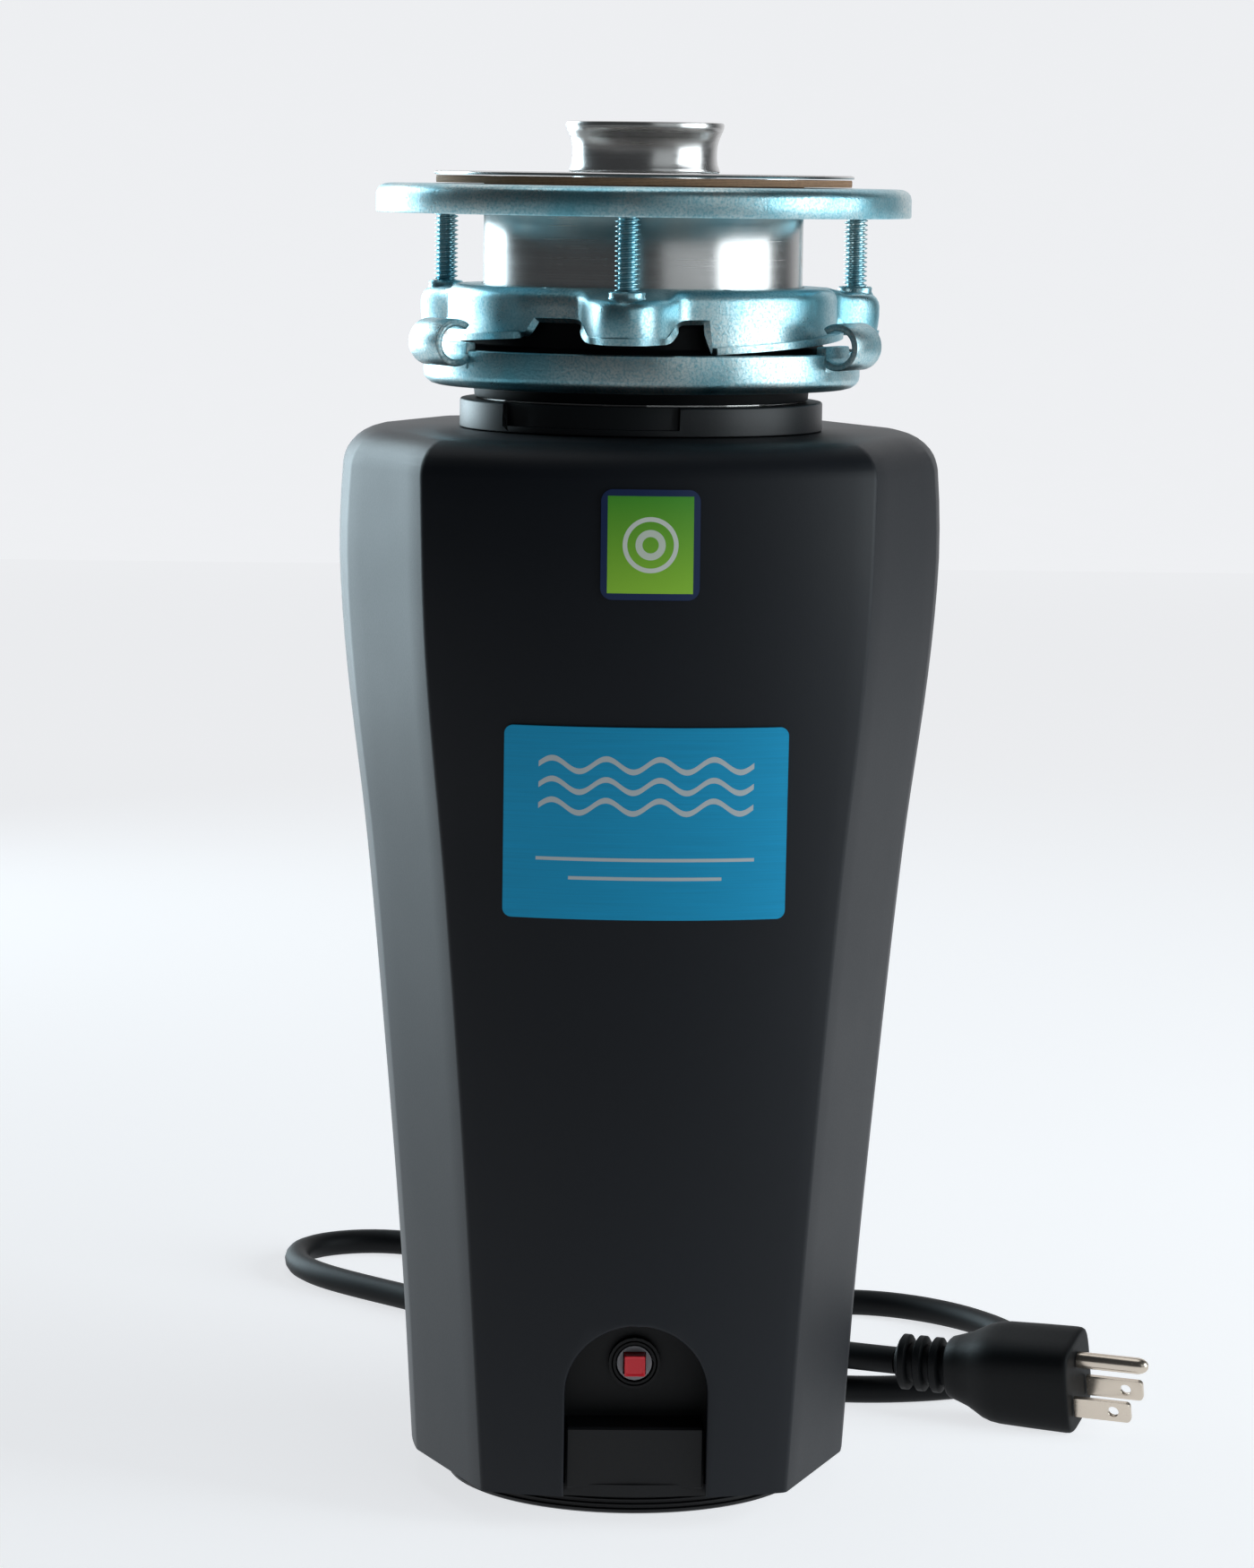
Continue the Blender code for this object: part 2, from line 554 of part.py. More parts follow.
# ---------------------------------------------------------------- the grinding section
def make_chamber():
    """The grind chamber, its stationary shredder ring and the dishwasher inlet."""
    inner = CHAMBER_R - CHAMBER_WALL
    turned("grind_chamber", (
        (0.0432, 0.3060), (0.0432, 0.2840), (0.0520, 0.2780), (0.0610, 0.2690), (CHAMBER_R, 0.2620),
        (CHAMBER_R, 0.2065), (0.0665, 0.2065), (0.0665, 0.2043), (inner, 0.2043), (inner, 0.2612),
        (0.0594, 0.2674), (0.0507, 0.2761), (0.0405, 0.2826), (0.0405, 0.3060)), "stainless")
    shredder = ring("grind_ring", inner - 0.0004, 0.0530, 0.2043, 0.2330, "cast_metal")
    for number in range(8):
        turn = Matrix.Rotation(math.radians(22.5 * number), 4, "Z")
        slot = box_mesh(f"shredder_slot_{number}", (-0.0560, -0.0022, 0.2105),
                        (0.0560, 0.0022, 0.2400), 0, turn)
        boolean(shredder, add_cutter(f"shredder_slot_{number}", slot))
    turned("dishwasher_inlet", (
        (0.0090, 0.0410), (0.0105, 0.0410), (0.0118, 0.0375), (0.0111, 0.0370), (0.0118, 0.0330),
        (0.0111, 0.0325), (0.0111, 0.0032), (0.0150, 0.0032), (0.0150, 0.0), (0.0090, 0.0),
        (0.0090, 0.0002)), "black_plastic", 24, (0, CHAMBER_R + GAP, INLET_Z), (0, 1, 0))


def make_turntable():
    """The spinning plate, its nut, and the two swivelling impellers on their pins."""
    bottom, top = TURNTABLE_Z, 0.2084
    turned("turntable", ((0.0523, top), (0.0523, bottom), (0.0090, bottom), (0.0090, 0.1985),
                         (BORE_R, 0.1985), (BORE_R, top)), "stainless")
    plate = bpy.data.objects["turntable"]
    for number, side in enumerate((1, -1), 1):
        x = side * IMPELLER_ORBIT
        hole = rod_mesh(f"pin_hole_{number}", (x, 0, 0.200), (0, 0, 1), 0.0028, 0.015, 16)
        boolean(plate, add_cutter(f"pin_hole_{number}", hole))
        drain = rod_mesh(f"drain_hole_{number}", (0, side * 0.040, 0.200), (0, 0, 1), 0.0030, 0.015, 16)
        boolean(plate, add_cutter(f"drain_hole_{number}", drain))
        turned(f"impeller_pin_{number}", (
            (0.0, 0.2172), (0.0042, 0.2172), (0.0046, 0.2166), (0.0046, 0.2152), (0.0025, 0.2152),
            (0.0025, 0.2035), (0.0, 0.2035)), "steel", 16, (x, 0, 0))
        low, high = sorted((-0.010 * side, 0.0160 * side))
        lug = box_mesh(f"impeller_{number}", (low, -0.0065, 0.0), (high, 0.0065, 0.0060), 0.0010)
        impeller = add_part(f"impeller_{number}", lug, "stainless")
        impeller.location = (x, 0, 0.2088)
        bore = rod_mesh(f"impeller_bore_{number}", (x, 0, 0.205), (0, 0, 1), 0.0029, 0.014, 16)
        boolean(impeller, add_cutter(f"impeller_bore_{number}", bore))
    hex_bore = 0.0051                  # corner radius of the six-sided bore
    nut = turned("turntable_nut", ((0.0080, 0.2150), (0.0080, top + GAP), (hex_bore, top + GAP),
                                   (hex_bore, 0.2150)), "steel", 6)
    nut.rotation_euler = (0, 0, math.radians(15))


def make_end_bell():
    """The upper end bell: bearing and seal pockets, the discharge bowl and its outlet spout."""
    bell = turned("upper_end_bell", (
        (0.0665, BELL_TOP), (0.0665, 0.2015), (0.0600, 0.1995), (0.0600, 0.1720), (BELL_FOOT_R, 0.1600),
        (BELL_FOOT_R, BELL_BOTTOM), (0.0083, BELL_BOTTOM), (0.0083, 0.1620), (0.0050, 0.1620),
        (0.0050, 0.1780), (0.0089, 0.1780), (0.0089, 0.1900), (0.0130, 0.1900), (0.0150, 0.1650),
        (0.0500, 0.1650), (0.0570, 0.1740), (0.0570, BELL_TOP)), "cast_metal")
    spout = rod_mesh("outlet_spout", (0, 0.0560, OUTLET_Z), (0, 1, 0), OUTLET_R, OUTLET_END - 0.0560)
    boolean(bell, add_cutter("outlet_spout", spout), "UNION")
    plate = box_mesh("outlet_plate", (-0.032, 0.0800, OUTLET_Z - 0.0075),
                     (0.032, OUTLET_END, OUTLET_Z + 0.0075))
    boolean(bell, add_cutter("outlet_plate", plate), "UNION")
    bore = rod_mesh("outlet_bore", (0, 0.0300, OUTLET_Z), (0, 1, 0), OUTLET_BORE_R, 0.06)
    boolean(bell, add_cutter("outlet_bore", bore))
    for number, side in enumerate((1, -1), 1):
        hole = rod_mesh(f"bell_bolt_hole_{number}", (side * BOLT_X, 0, 0.145), (0, 0, 1), 0.0022, 0.011, 12)
        boolean(bell, add_cutter(f"bell_bolt_hole_{number}", hole))
        tapped = rod_mesh(f"tapped_hole_{number}", (side * 0.027, 0.077, OUTLET_Z), (0, 1, 0),
                          0.0023, 0.010, 12)
        boolean(bell, add_cutter(f"tapped_hole_{number}", tapped))


def make_discharge():
    """The outlet gasket, clamp plate with its two screws, and the discharge elbow."""
    start = OUTLET_END + GAP
    ring("discharge_gasket", 0.0220, 0.0160, 0.0, 0.0024, "black_rubber", 24, (0, start, OUTLET_Z), (0, 1, 0))
    lip = start + 0.0027
    straight = 0.100
    path = [Vector((0, lip, OUTLET_Z)), Vector((0, straight, OUTLET_Z))]
    centre = Vector((0, straight, OUTLET_Z - ELBOW_BEND_R))
    for step in range(1, 9):
        angle = math.radians(90 * step / 8)
        path.append(centre + ELBOW_BEND_R * Vector((0, math.sin(angle), math.cos(angle))))
    end = Vector((0, straight + ELBOW_BEND_R, 0.137))
    path.append(end)
    elbow = add_part("discharge_elbow", tube_mesh("discharge_elbow", path, OUTLET_R, 4), "black_plastic")
    flange = rod_mesh("elbow_lip", (0, lip, OUTLET_Z), (0, 1, 0), 0.0220, 0.0022)
    boolean(elbow, add_cutter("elbow_lip", flange), "UNION")
    inside = [path[0] - Vector((0, 0.004, 0))] + path[1:-1] + [end - Vector((0, 0, 0.004))]
    bore = tube_mesh("elbow_bore", inside, OUTLET_BORE_R + 0.0005, 4)
    boolean(elbow, add_cutter("elbow_bore", bore))
    plate_at = lip + 0.0025
    body = rod_mesh("elbow_clamp", (0, plate_at, OUTLET_Z), (0, 1, 0), 0.0250, 0.0022, 24)
    clamp = add_part("elbow_clamp", body, "zinc_plate")
    wings = box_mesh("clamp_wings", (-0.033, plate_at, OUTLET_Z - 0.0085),
                     (0.033, plate_at + 0.0022, OUTLET_Z + 0.0085))
    boolean(clamp, add_cutter("clamp_wings", wings), "UNION")
    hole = rod_mesh("clamp_bore", (0, 0.080, OUTLET_Z), (0, 1, 0), OUTLET_R + 0.0005, 0.02, 24)
    boolean(clamp, add_cutter("clamp_bore", hole))
    head = plate_at + 0.0025
    for number, side in enumerate((1, -1), 1):
        x = side * 0.027
        slot = rod_mesh(f"clamp_hole_{number}", (x, 0.082, OUTLET_Z), (0, 1, 0), 0.0024, 0.012, 12)
        boolean(clamp, add_cutter(f"clamp_hole_{number}", slot))
        turned(f"clamp_screw_{number}", (
            (0.0, head + 0.0028), (0.0032, head + 0.0028), (0.0042, head + 0.0018), (0.0042, head),
            (0.0019, head), (0.0019, 0.0790), (0.0, 0.0790)), "steel", 16, (x, 0, OUTLET_Z), (0, 1, 0))


# ---------------------------------------------------------------- the motor
def make_stator():
    """The motor can with its two magnets, the lower cap, the brush gear and the long bolts."""
    inner = CAN_R - CAN_WALL
    ring("motor_can", CAN_R, inner, CAP_TOP + GAP, BELL_BOTTOM - GAP, "steel")
    cap = turned("lower_end_cap", (
        (0.0520, CAP_TOP), (0.0520, 0.0560), (0.0150, 0.0545), (0.0140, 0.0460), (0.0050, 0.0460),
        (0.0050, 0.0485), (0.0083, 0.0485), (0.0083, CAP_TOP)), "cast_metal")
    ring("lower_bearing", 0.0080, BORE_R, 0.0488, 0.0560, "steel", 16)
    ring("upper_bearing", 0.0080, BORE_R, 0.1510, 0.1615, "steel", 16)
    ring("shaft_seal", 0.0086, BORE_R, 0.1783, 0.1895, "black_rubber", 16)
    for number, side in enumerate((1, -1), 1):
        hole = rod_mesh(f"cap_bolt_hole_{number}", (side * BOLT_X, 0, 0.050), (0, 0, 1), 0.0022, 0.014, 12)
        boolean(cap, add_cutter(f"cap_bolt_hole_{number}", hole))
        turned(f"through_bolt_{number}", (
            (0.0, 0.1540), (0.0019, 0.1540), (0.0019, 0.0557), (0.0038, 0.0557), (0.0038, 0.0530),
            (0.0, 0.0530)), "steel", 12, (side * BOLT_X, 0, 0))
        outline = [tuple(around(side * 90 + angle, inner - 0.0006).xy) for angle in range(-70, 71, 14)]
        outline += [tuple(around(side * 90 + angle, 0.0320).xy) for angle in range(70, -71, -14)]
        magnet = prism_mesh(f"magnet_{number}", outline, 0.084, 0.137)
        add_part(f"magnet_{number}", magnet, "magnet")
    card = ring("brush_card", inner - 0.0008, 0.0145, CAP_TOP + 0.0009, 0.0630, "grey_plastic")
    for number, side in enumerate((1, -1), 1):
        near, far = sorted((side * 0.0155, side * 0.0330))
        holder = box_mesh(f"holder_{number}", (near, -0.0060, 0.0625), (far, 0.0060, 0.0800))
        boolean(card, add_cutter(f"holder_{number}", holder), "UNION")
        near, far = sorted((side * 0.0100, side * 0.0400))
        slot = box_mesh(f"holder_slot_{number}", (near, -0.0034, 0.0686), (far, 0.0034, 0.0774))
        boolean(card, add_cutter(f"holder_slot_{number}", slot))
        near, far = sorted((side * 0.0125, side * 0.0260))
        brush = box_mesh(f"brush_{number}", (near, -0.0030, 0.0690), (far, 0.0030, 0.0770))
        add_part(f"brush_{number}", brush, "carbon")


def make_rotor():
    """The shaft with its commutator, laminated core and windings."""
    turned("rotor_shaft", ((0.0, 0.2185), (0.0034, 0.2185), (SHAFT_R, 0.2179), (SHAFT_R, 0.0475),
                           (0.0034, 0.0469), (0.0, 0.0469)), "steel", 16)
    ring("commutator", 0.0121, BORE_R, 0.0660, 0.0800, "copper", 16)
    slots, outline = 11, []
    for tooth in range(slots):
        for share, radius in ((0.12, 0.0235), (0.12, 0.0310), (0.5, 0.0313), (0.88, 0.0310), (0.88, 0.0235)):
            angle = math.tau * (tooth + share) / slots
            outline.append((radius * math.cos(angle), radius * math.sin(angle)))
    core = add_part("armature_core", prism_mesh("armature_core", outline, 0.0923, 0.1280), "steel")
    bore = rod_mesh("core_bore", (0, 0, 0.08), (0, 0, 1), BORE_R, 0.06, 20)
    boolean(core, add_cutter("core_bore", bore))
    for name, low, high in (("winding_lower", 0.0820, 0.0920), ("winding_upper", 0.1283, 0.1383)):
        turned(name, ((0.0240, high), (0.0285, high - 0.003), (0.0285, low + 0.003), (0.0240, low),
                      (0.0120, low), (0.0080, low + 0.003), (0.0080, high - 0.003), (0.0120, high)),
               "copper", 16)


# ---------------------------------------------------------------- the lead and its plug
def make_lead():
    """The strain relief, the free lead and the moulded plug with its three prongs."""
    turned("cord_gland", ((0.0, GLAND_END), (0.0048, GLAND_END), (0.0068, 0.0745), (0.0090, 0.0740),
                          (0.0090, 0.0714), (0.0070, 0.0710), (0.0070, 0.0660), (0.0095, 0.0660),
                          (0.0095, 0.0620), (0.0, 0.0620)), "black_rubber", 16,
           (GLAND_X, 0, GLAND_Z), (0, 1, 0))
    cord = bpy.data.curves.new("power_cord", "CURVE")
    cord.dimensions = "3D"
    cord.bevel_depth = CORD_R
    cord.bevel_resolution = 2
    cord.use_fill_caps = True
    spline = cord.splines.new("POLY")
    spline.points.add(CORD_POINTS - 1)
    for point, place in zip(spline.points, smooth_route(CORD_ROUTE, CORD_POINTS)):
        point.co = (*place, 1.0)
    add_part("power_cord", cord, "black_rubber")
    place = (Matrix.Translation(PLUG_START) @ Matrix.Rotation(PLUG_TURN, 4, "Z")
             @ Matrix.Rotation(PLUG_ROLL, 4, "X"))
    make_plug(place)
    make_prongs(place)


def plug_section(along, half_across, half_up, squareness, sides=16):
    """A rounded cross-section of the plug, square to its X axis."""
    points = []
    for number in range(sides):
        angle = math.tau * number / sides
        reach = (abs(math.cos(angle))**squareness + abs(math.sin(angle))**squareness)**(-1 / squareness)
        points.append((along, half_across * reach * math.cos(angle), half_up * reach * math.sin(angle)))
    return points


def make_plug(place):
    """The plug's moulded body, with a ribbed tail."""
    rings = [plug_section(0.0, 0.0050, 0.0050, 2.0)]
    for rib in range(3):
        start = 0.0010 + rib * 0.0049
        rings.append(plug_section(start, 0.0050, 0.0058, 2.0))
        rings.append(plug_section(start + 0.0002, 0.0068, 0.0083, 2.2))
        rings.append(plug_section(start + 0.0028, 0.0068, 0.0083, 2.2))
        rings.append(plug_section(start + 0.0030, 0.0050, 0.0058, 2.0))
    for along, across, up, squareness in (
            (0.0153, 0.0055, 0.0062, 2.2), (0.0163, 0.0070, 0.0088, 2.6), (0.0225, 0.0085, 0.0106, 3.0),
            (0.0270, 0.0105, 0.0125, 3.4), (0.0330, 0.0120, 0.0134, 3.8), (0.0540, 0.0122, 0.0138, 4.0),
            (PLUG_LENGTH, 0.0119, 0.0135, 4.0)):
        rings.append(plug_section(along, across, up, squareness))
    body = loft_mesh("plug_body", rings)
    body.transform(place)
    add_part("plug_body", body, "black_rubber")


def make_prongs(place):
    """The round ground pin and the two flat blades."""
    face = PLUG_LENGTH + GAP
    blade_up, pin_up = -0.0050, 0.0069
    pin = turned("ground_pin", ((0.0, 0.0210), (0.0012, 0.0206), (0.0021, 0.0194), (0.0024, 0.0180),
                                (0.0024, 0.0), (0.0, 0.0)), "nickel", 16)
    lie_down = Matrix.Rotation(math.radians(90), 4, "Y")
    pin.matrix_world = place @ Matrix.Translation((face, 0, pin_up)) @ lie_down
    half_tall, half_thick, length = 0.003175, 0.00075, 0.0170
    outline = [(0, -half_tall), (length - 0.0012, -half_tall), (length, -half_tall + 0.0012),
               (length, half_tall - 0.0012), (length - 0.0012, half_tall), (0, half_tall)]
    stand_up = Matrix.Rotation(math.radians(90), 4, "X")
    for number, side in enumerate((1, -1), 1):
        spot = place @ Matrix.Translation((face, side * 0.00635, blade_up)) @ stand_up
        blade = prism_mesh(f"blade_{number}", outline, -half_thick, half_thick, spot)
        made = add_part(f"blade_{number}", blade, "nickel")
        hole = rod_mesh(f"blade_hole_{number}", (length - 0.0052, 0, -0.003), (0, 0, 1), 0.0016, 0.006, 14)
        hole.transform(spot)
        boolean(made, add_cutter(f"blade_hole_{number}", hole))


# ---------------------------------------------------------------- assembly
clear_scene()
PARTS = new_collection("garbage_disposal")
CUTTERS = new_collection("cutters")
make_casing()
make_surface_plate("front_label", 0.1925, 0.037, 0.0255, 0.0012, 0.0004, "teal_label")
make_surface_plate("badge_sticker", 0.2655, 0.0128, 0.0142, 0.0012, 0.0004, "green_badge")
make_base()
make_sink_flange()
make_upper_ring()
make_lower_ring()
make_neck()
make_chamber()
make_turntable()
make_end_bell()
make_discharge()
make_stator()
make_rotor()
make_lead()
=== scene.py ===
"""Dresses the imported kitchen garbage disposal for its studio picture.

Fine meshes stand in for the plain solids, every node gets a finish of its own, and the lead lies on
the floor behind the casing. Metres, +Z up, the motor axis on Z, the labelled front towards -Y.
"""
import json
import logging
import math
from collections.abc import Callable, Mapping, Sequence
from dataclasses import dataclass
from enum import Enum

import bmesh
import bpy
from mathutils import Matrix, Vector


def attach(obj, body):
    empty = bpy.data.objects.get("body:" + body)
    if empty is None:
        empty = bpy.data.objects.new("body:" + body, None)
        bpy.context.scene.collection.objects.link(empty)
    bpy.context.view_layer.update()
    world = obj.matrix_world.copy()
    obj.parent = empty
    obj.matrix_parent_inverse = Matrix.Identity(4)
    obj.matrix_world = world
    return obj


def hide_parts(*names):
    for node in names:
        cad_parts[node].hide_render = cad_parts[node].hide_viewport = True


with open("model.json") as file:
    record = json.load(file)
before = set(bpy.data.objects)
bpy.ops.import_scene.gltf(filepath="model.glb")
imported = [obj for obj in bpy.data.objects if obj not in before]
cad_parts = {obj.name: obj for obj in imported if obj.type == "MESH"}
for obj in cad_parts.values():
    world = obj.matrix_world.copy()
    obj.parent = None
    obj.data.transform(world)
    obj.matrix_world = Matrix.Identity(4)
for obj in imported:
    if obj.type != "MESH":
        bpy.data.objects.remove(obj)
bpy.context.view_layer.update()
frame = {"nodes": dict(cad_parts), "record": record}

log = logging.getLogger("disposal")

Colour = tuple[float, float, float]
Point = tuple[float, float, float]
Profile = Sequence[tuple[float, float]]


class Slot(Enum):
    """The record's material slots."""

    CASING = "casing_black"
    COLLAR = "collar_grey"
    PLASTIC = "black_plastic"
    RUBBER = "black_rubber"
    ZINC = "zinc_plate"
    STAINLESS = "stainless"
    FIBRE = "fibre"
    CAST = "cast_metal"
    STEEL = "steel"
    COPPER = "copper"
    CARBON = "carbon"
    MAGNET = "magnet"
    GREY = "grey_plastic"
    RED = "red_plastic"
    LABEL = "teal_label"
    BADGE = "green_badge"
    NICKEL = "nickel"


class Axis(Enum):
    """The direction that a turned piece is turned about."""

    UP = "z"
    BACK = "y"

    def vector(self) -> Point:
        """The unit vector of the axis."""
        return (0.0, 0.0, 1.0) if self is Axis.UP else (0.0, 1.0, 0.0)

    def point(self, radius: float, along: float, at: Point) -> Vector:
        """The place of a profile point.

        Args:
            radius: distance from the axis.
            along: distance along the axis.
            at: a point on the axis.

        Returns:
            The point in the row frame.
        """
        if self is Axis.UP:
            return Vector(at) + Vector((radius, 0.0, along))
        return Vector(at) + Vector((radius, along, 0.0))


# ------------------------------------------------------------------ finishes
class Wire:
    """A value socket that takes part in Python arithmetic."""

    def __init__(self, nodes: "Nodes", socket: bpy.types.NodeSocket) -> None:
        """Wrap an output socket of a node tree."""
        self.nodes = nodes
        self.socket = socket

    def math(self, operation: str, *values: "Wire | float") -> "Wire":
        """Add a Math node.

        Args:
            operation: the Math node's operation.
            values: its inputs, in order.

        Returns:
            The node's result.
        """
        return self.nodes.add("ShaderNodeMath", {"operation": operation}, dict(enumerate(values)))

    def __add__(self, other: "Wire | float") -> "Wire":
        """self + other."""
        return self.math("ADD", self, other)

    def __radd__(self, other: float) -> "Wire":
        """other + self."""
        return self.math("ADD", other, self)

    def __sub__(self, other: "Wire | float") -> "Wire":
        """self - other."""
        return self.math("SUBTRACT", self, other)

    def __rsub__(self, other: float) -> "Wire":
        """other - self."""
        return self.math("SUBTRACT", other, self)

    def __mul__(self, other: "Wire | float") -> "Wire":
        """self * other."""
        return self.math("MULTIPLY", self, other)

    def __truediv__(self, other: "Wire | float") -> "Wire":
        """self / other."""
        return self.math("DIVIDE", self, other)

    def __pow__(self, other: float) -> "Wire":
        """self ** other."""
        return self.math("POWER", self, other)

    def __abs__(self) -> "Wire":
        """abs(self)."""
        return self.math("ABSOLUTE", self)

    def sine(self) -> "Wire":
        """The sine of an angle in radians."""
        return self.math("SINE", self)

    def clamped(self) -> "Wire":
        """The value held between 0 and 1."""
        return self.math("MINIMUM", self.math("MAXIMUM", self, 0.0), 1.0)

    def __lt__(self, other: "Wire | float") -> "Wire":
        """1 where self is under other."""
        return self.math("LESS_THAN", self, other)

    def __gt__(self, other: "Wire | float") -> "Wire":
        """1 where self is over other."""
        return self.math("GREATER_THAN", self, other)


class Nodes:
    """One material's node tree, built in Python expressions."""

    def __init__(self, name: str) -> None:
        """Start a material with its Principled shader.

        Args:
            name: the material's name.
        """
        self.material = bpy.data.materials.new(name)
        self.material.use_nodes = True
        self.tree = self.material.node_tree
        self.shader = self.tree.nodes["Principled BSDF"]

    def add(self, kind: str, settings: Mapping[str, object], inputs: Mapping[int | str, object],
            output: int = 0) -> Wire:
        """Add a node.

        Args:
            kind: the node's type.
            settings: its properties.
            inputs: values or wires for its sockets, by index or name.
            output: which output to return.

        Returns:
            The chosen output.
        """
        node = self.tree.nodes.new(kind)
        for key, value in settings.items():
            setattr(node, key, value)
        for key, value in inputs.items():
            self.feed(node.inputs[key], value)
        return Wire(self, node.outputs[output])

    def feed(self, socket: bpy.types.NodeSocket, value: object) -> None:
        """Link a wire to a socket, or set the socket's own value.

        Args:
            socket: the socket to feed.
            value: a wire, a colour or a number.
        """
        if isinstance(value, Wire):
            self.tree.links.new(value.socket, socket)
        elif isinstance(value, tuple) and len(value) == 3 and socket.type == "RGBA":
            socket.default_value = (*value, 1.0)
        else:
            socket.default_value = value

    def place(self) -> Wire:
        """The point on the piece, in metres."""
        return self.add("ShaderNodeTexCoord", {}, {}, output=3)

    def vector(self, x: Wire, z: Wire) -> Wire:
        """A point from its X and Z."""
        return self.add("ShaderNodeCombineXYZ", {}, {0: x, 1: 0.0, 2: z})

    def split(self, vector: Wire) -> tuple[Wire, Wire, Wire]:
        """The three parts of a vector.

        Args:
            vector: the vector to split.

        Returns:
            Its X, Y and Z.
        """
        x = self.add("ShaderNodeSeparateXYZ", {}, {0: vector})
        outputs = x.socket.node.outputs
        return x, Wire(self, outputs[1]), Wire(self, outputs[2])

    def noise(self, vector: Wire, scale: float, detail: float = 2.0) -> Wire:
        """Soft noise from 0 to 1, with features about 1/scale metres wide."""
        return self.add("ShaderNodeTexNoise", {}, {"Vector": vector, "Scale": scale, "Detail": detail})

    def mix(self, factor: Wire, first: "Colour | Wire", second: "Colour | Wire") -> Wire:
        """Blend two colours by a factor."""
        return self.add("ShaderNodeMix", {"data_type": "RGBA", "clamp_factor": True},
                        {0: factor, 6: first, 7: second}, output=2)

    def bump(self, height: Wire, strength: float, distance: float) -> Wire:
        """A bumped normal from a height."""
        return self.add("ShaderNodeBump", {}, {"Strength": strength, "Distance": distance, "Height": height})

    def shade(self, sockets: Mapping[str, object]) -> bpy.types.Material:
        """Feed the shader's sockets and return the material.

        Args:
            sockets: what feeds each of the shader's sockets.

        Returns:
            The finished material.
        """
        for key, value in sockets.items():
            self.feed(self.shader.inputs[key], value)
        return self.material


def tinted(colour: Colour, factor: float) -> Colour:
    """A colour made lighter or darker by a factor."""
    return tuple(min(part * factor, 1.0) for part in colour)


@dataclass(frozen=True)
class Moulded:
    """Moulded plastic or rubber, with a fine spark-eroded grain."""

    colour: Colour
    roughness: float
    grain: float = 1600.0
    relief: float = 0.12
    level: float = 0.5

    def build(self, name: str) -> bpy.types.Material:
        """Make the material.

        Args:
            name: the material's name.

        Returns:
            The material.
        """
        nodes = Nodes(name)
        place = nodes.place()
        cloud = nodes.noise(place, 22.0, 3.0)
        grain = nodes.noise(place, self.grain, 2.0)
        return nodes.shade({
            "Base Color": nodes.mix(cloud, tinted(self.colour, 0.82), tinted(self.colour, 1.22)),
            "Roughness": self.roughness - 0.08 + cloud * 0.10 + grain * 0.08,
            "Specular IOR Level": self.level,
            "Normal": nodes.bump(grain, self.relief, 0.0002)})


@dataclass(frozen=True)
class Plated:
    """Zinc plate over pressed steel: a blue and straw cast, fine speckle, and dull patches."""

    colour: Colour
    cast: Colour
    roughness: float

    def build(self, name: str) -> bpy.types.Material:
        """Make the material.

        Args:
            name: the material's name.

        Returns:
            The material.
        """
        nodes = Nodes(name)
        place = nodes.place()
        drift = nodes.noise(place, 34.0, 3.0)
        patch = nodes.noise(place, 120.0, 4.0)
        speckle = nodes.noise(place, 1500.0, 2.0)
        tone = nodes.mix((drift - 0.38) * 3.4, self.colour, self.cast)
        return nodes.shade({
            "Base Color": nodes.mix((speckle - 0.5) * 2.4 + 0.25, tone, tinted(self.cast, 0.80)),
            "Metallic": 1.0,
            "Roughness": self.roughness + (patch - 0.5) * 0.28 + (speckle - 0.5) * 0.16,
            "Normal": nodes.bump(speckle + patch * 0.6, 0.24, 0.0002)})


@dataclass(frozen=True)
class Drawn:
    """Drawn or turned metal, with fine lines round the motor axis."""

    colour: Colour
    roughness: float
    lines: float = 1400.0
    relief: float = 0.06

    def build(self, name: str) -> bpy.types.Material:
        """Make the material.

        Args:
            name: the material's name.

        Returns:
            The material.
        """
        nodes = Nodes(name)
        place = nodes.place()
        x, y, z = nodes.split(place)
        radius = (x * x + y * y) ** 0.5
        line = nodes.noise(nodes.vector(radius * self.lines, z * self.lines), 1.0, 3.0)
        smear = nodes.noise(place, 60.0, 3.0)
        return nodes.shade({
            "Base Color": nodes.mix(smear, tinted(self.colour, 0.86), tinted(self.colour, 1.10)),
            "Metallic": 1.0,
            "Roughness": self.roughness + (line - 0.5) * 0.18 + (smear - 0.5) * 0.12,
            "Normal": nodes.bump(line, self.relief, 0.0001)})


@dataclass(frozen=True)
class Rough:
    """Cast, sintered, wound or pressed stock, with a coarse uneven surface."""

    colour: Colour
    roughness: float
    metallic: float
    scale: float = 700.0
    relief: float = 0.35

    def build(self, name: str) -> bpy.types.Material:
        """Make the material.

        Args:
            name: the material's name.

        Returns:
            The material.
        """
        nodes = Nodes(name)
        place = nodes.place()
        coarse = nodes.noise(place, self.scale, 5.0)
        broad = nodes.noise(place, 45.0, 3.0)
        return nodes.shade({
            "Base Color": nodes.mix(broad * 0.6 + coarse * 0.4, tinted(self.colour, 0.7),
                                    tinted(self.colour, 1.3)),
            "Metallic": self.metallic,
            "Roughness": self.roughness + (coarse - 0.5) * 0.25,
            "Normal": nodes.bump(coarse, self.relief, 0.0003)})


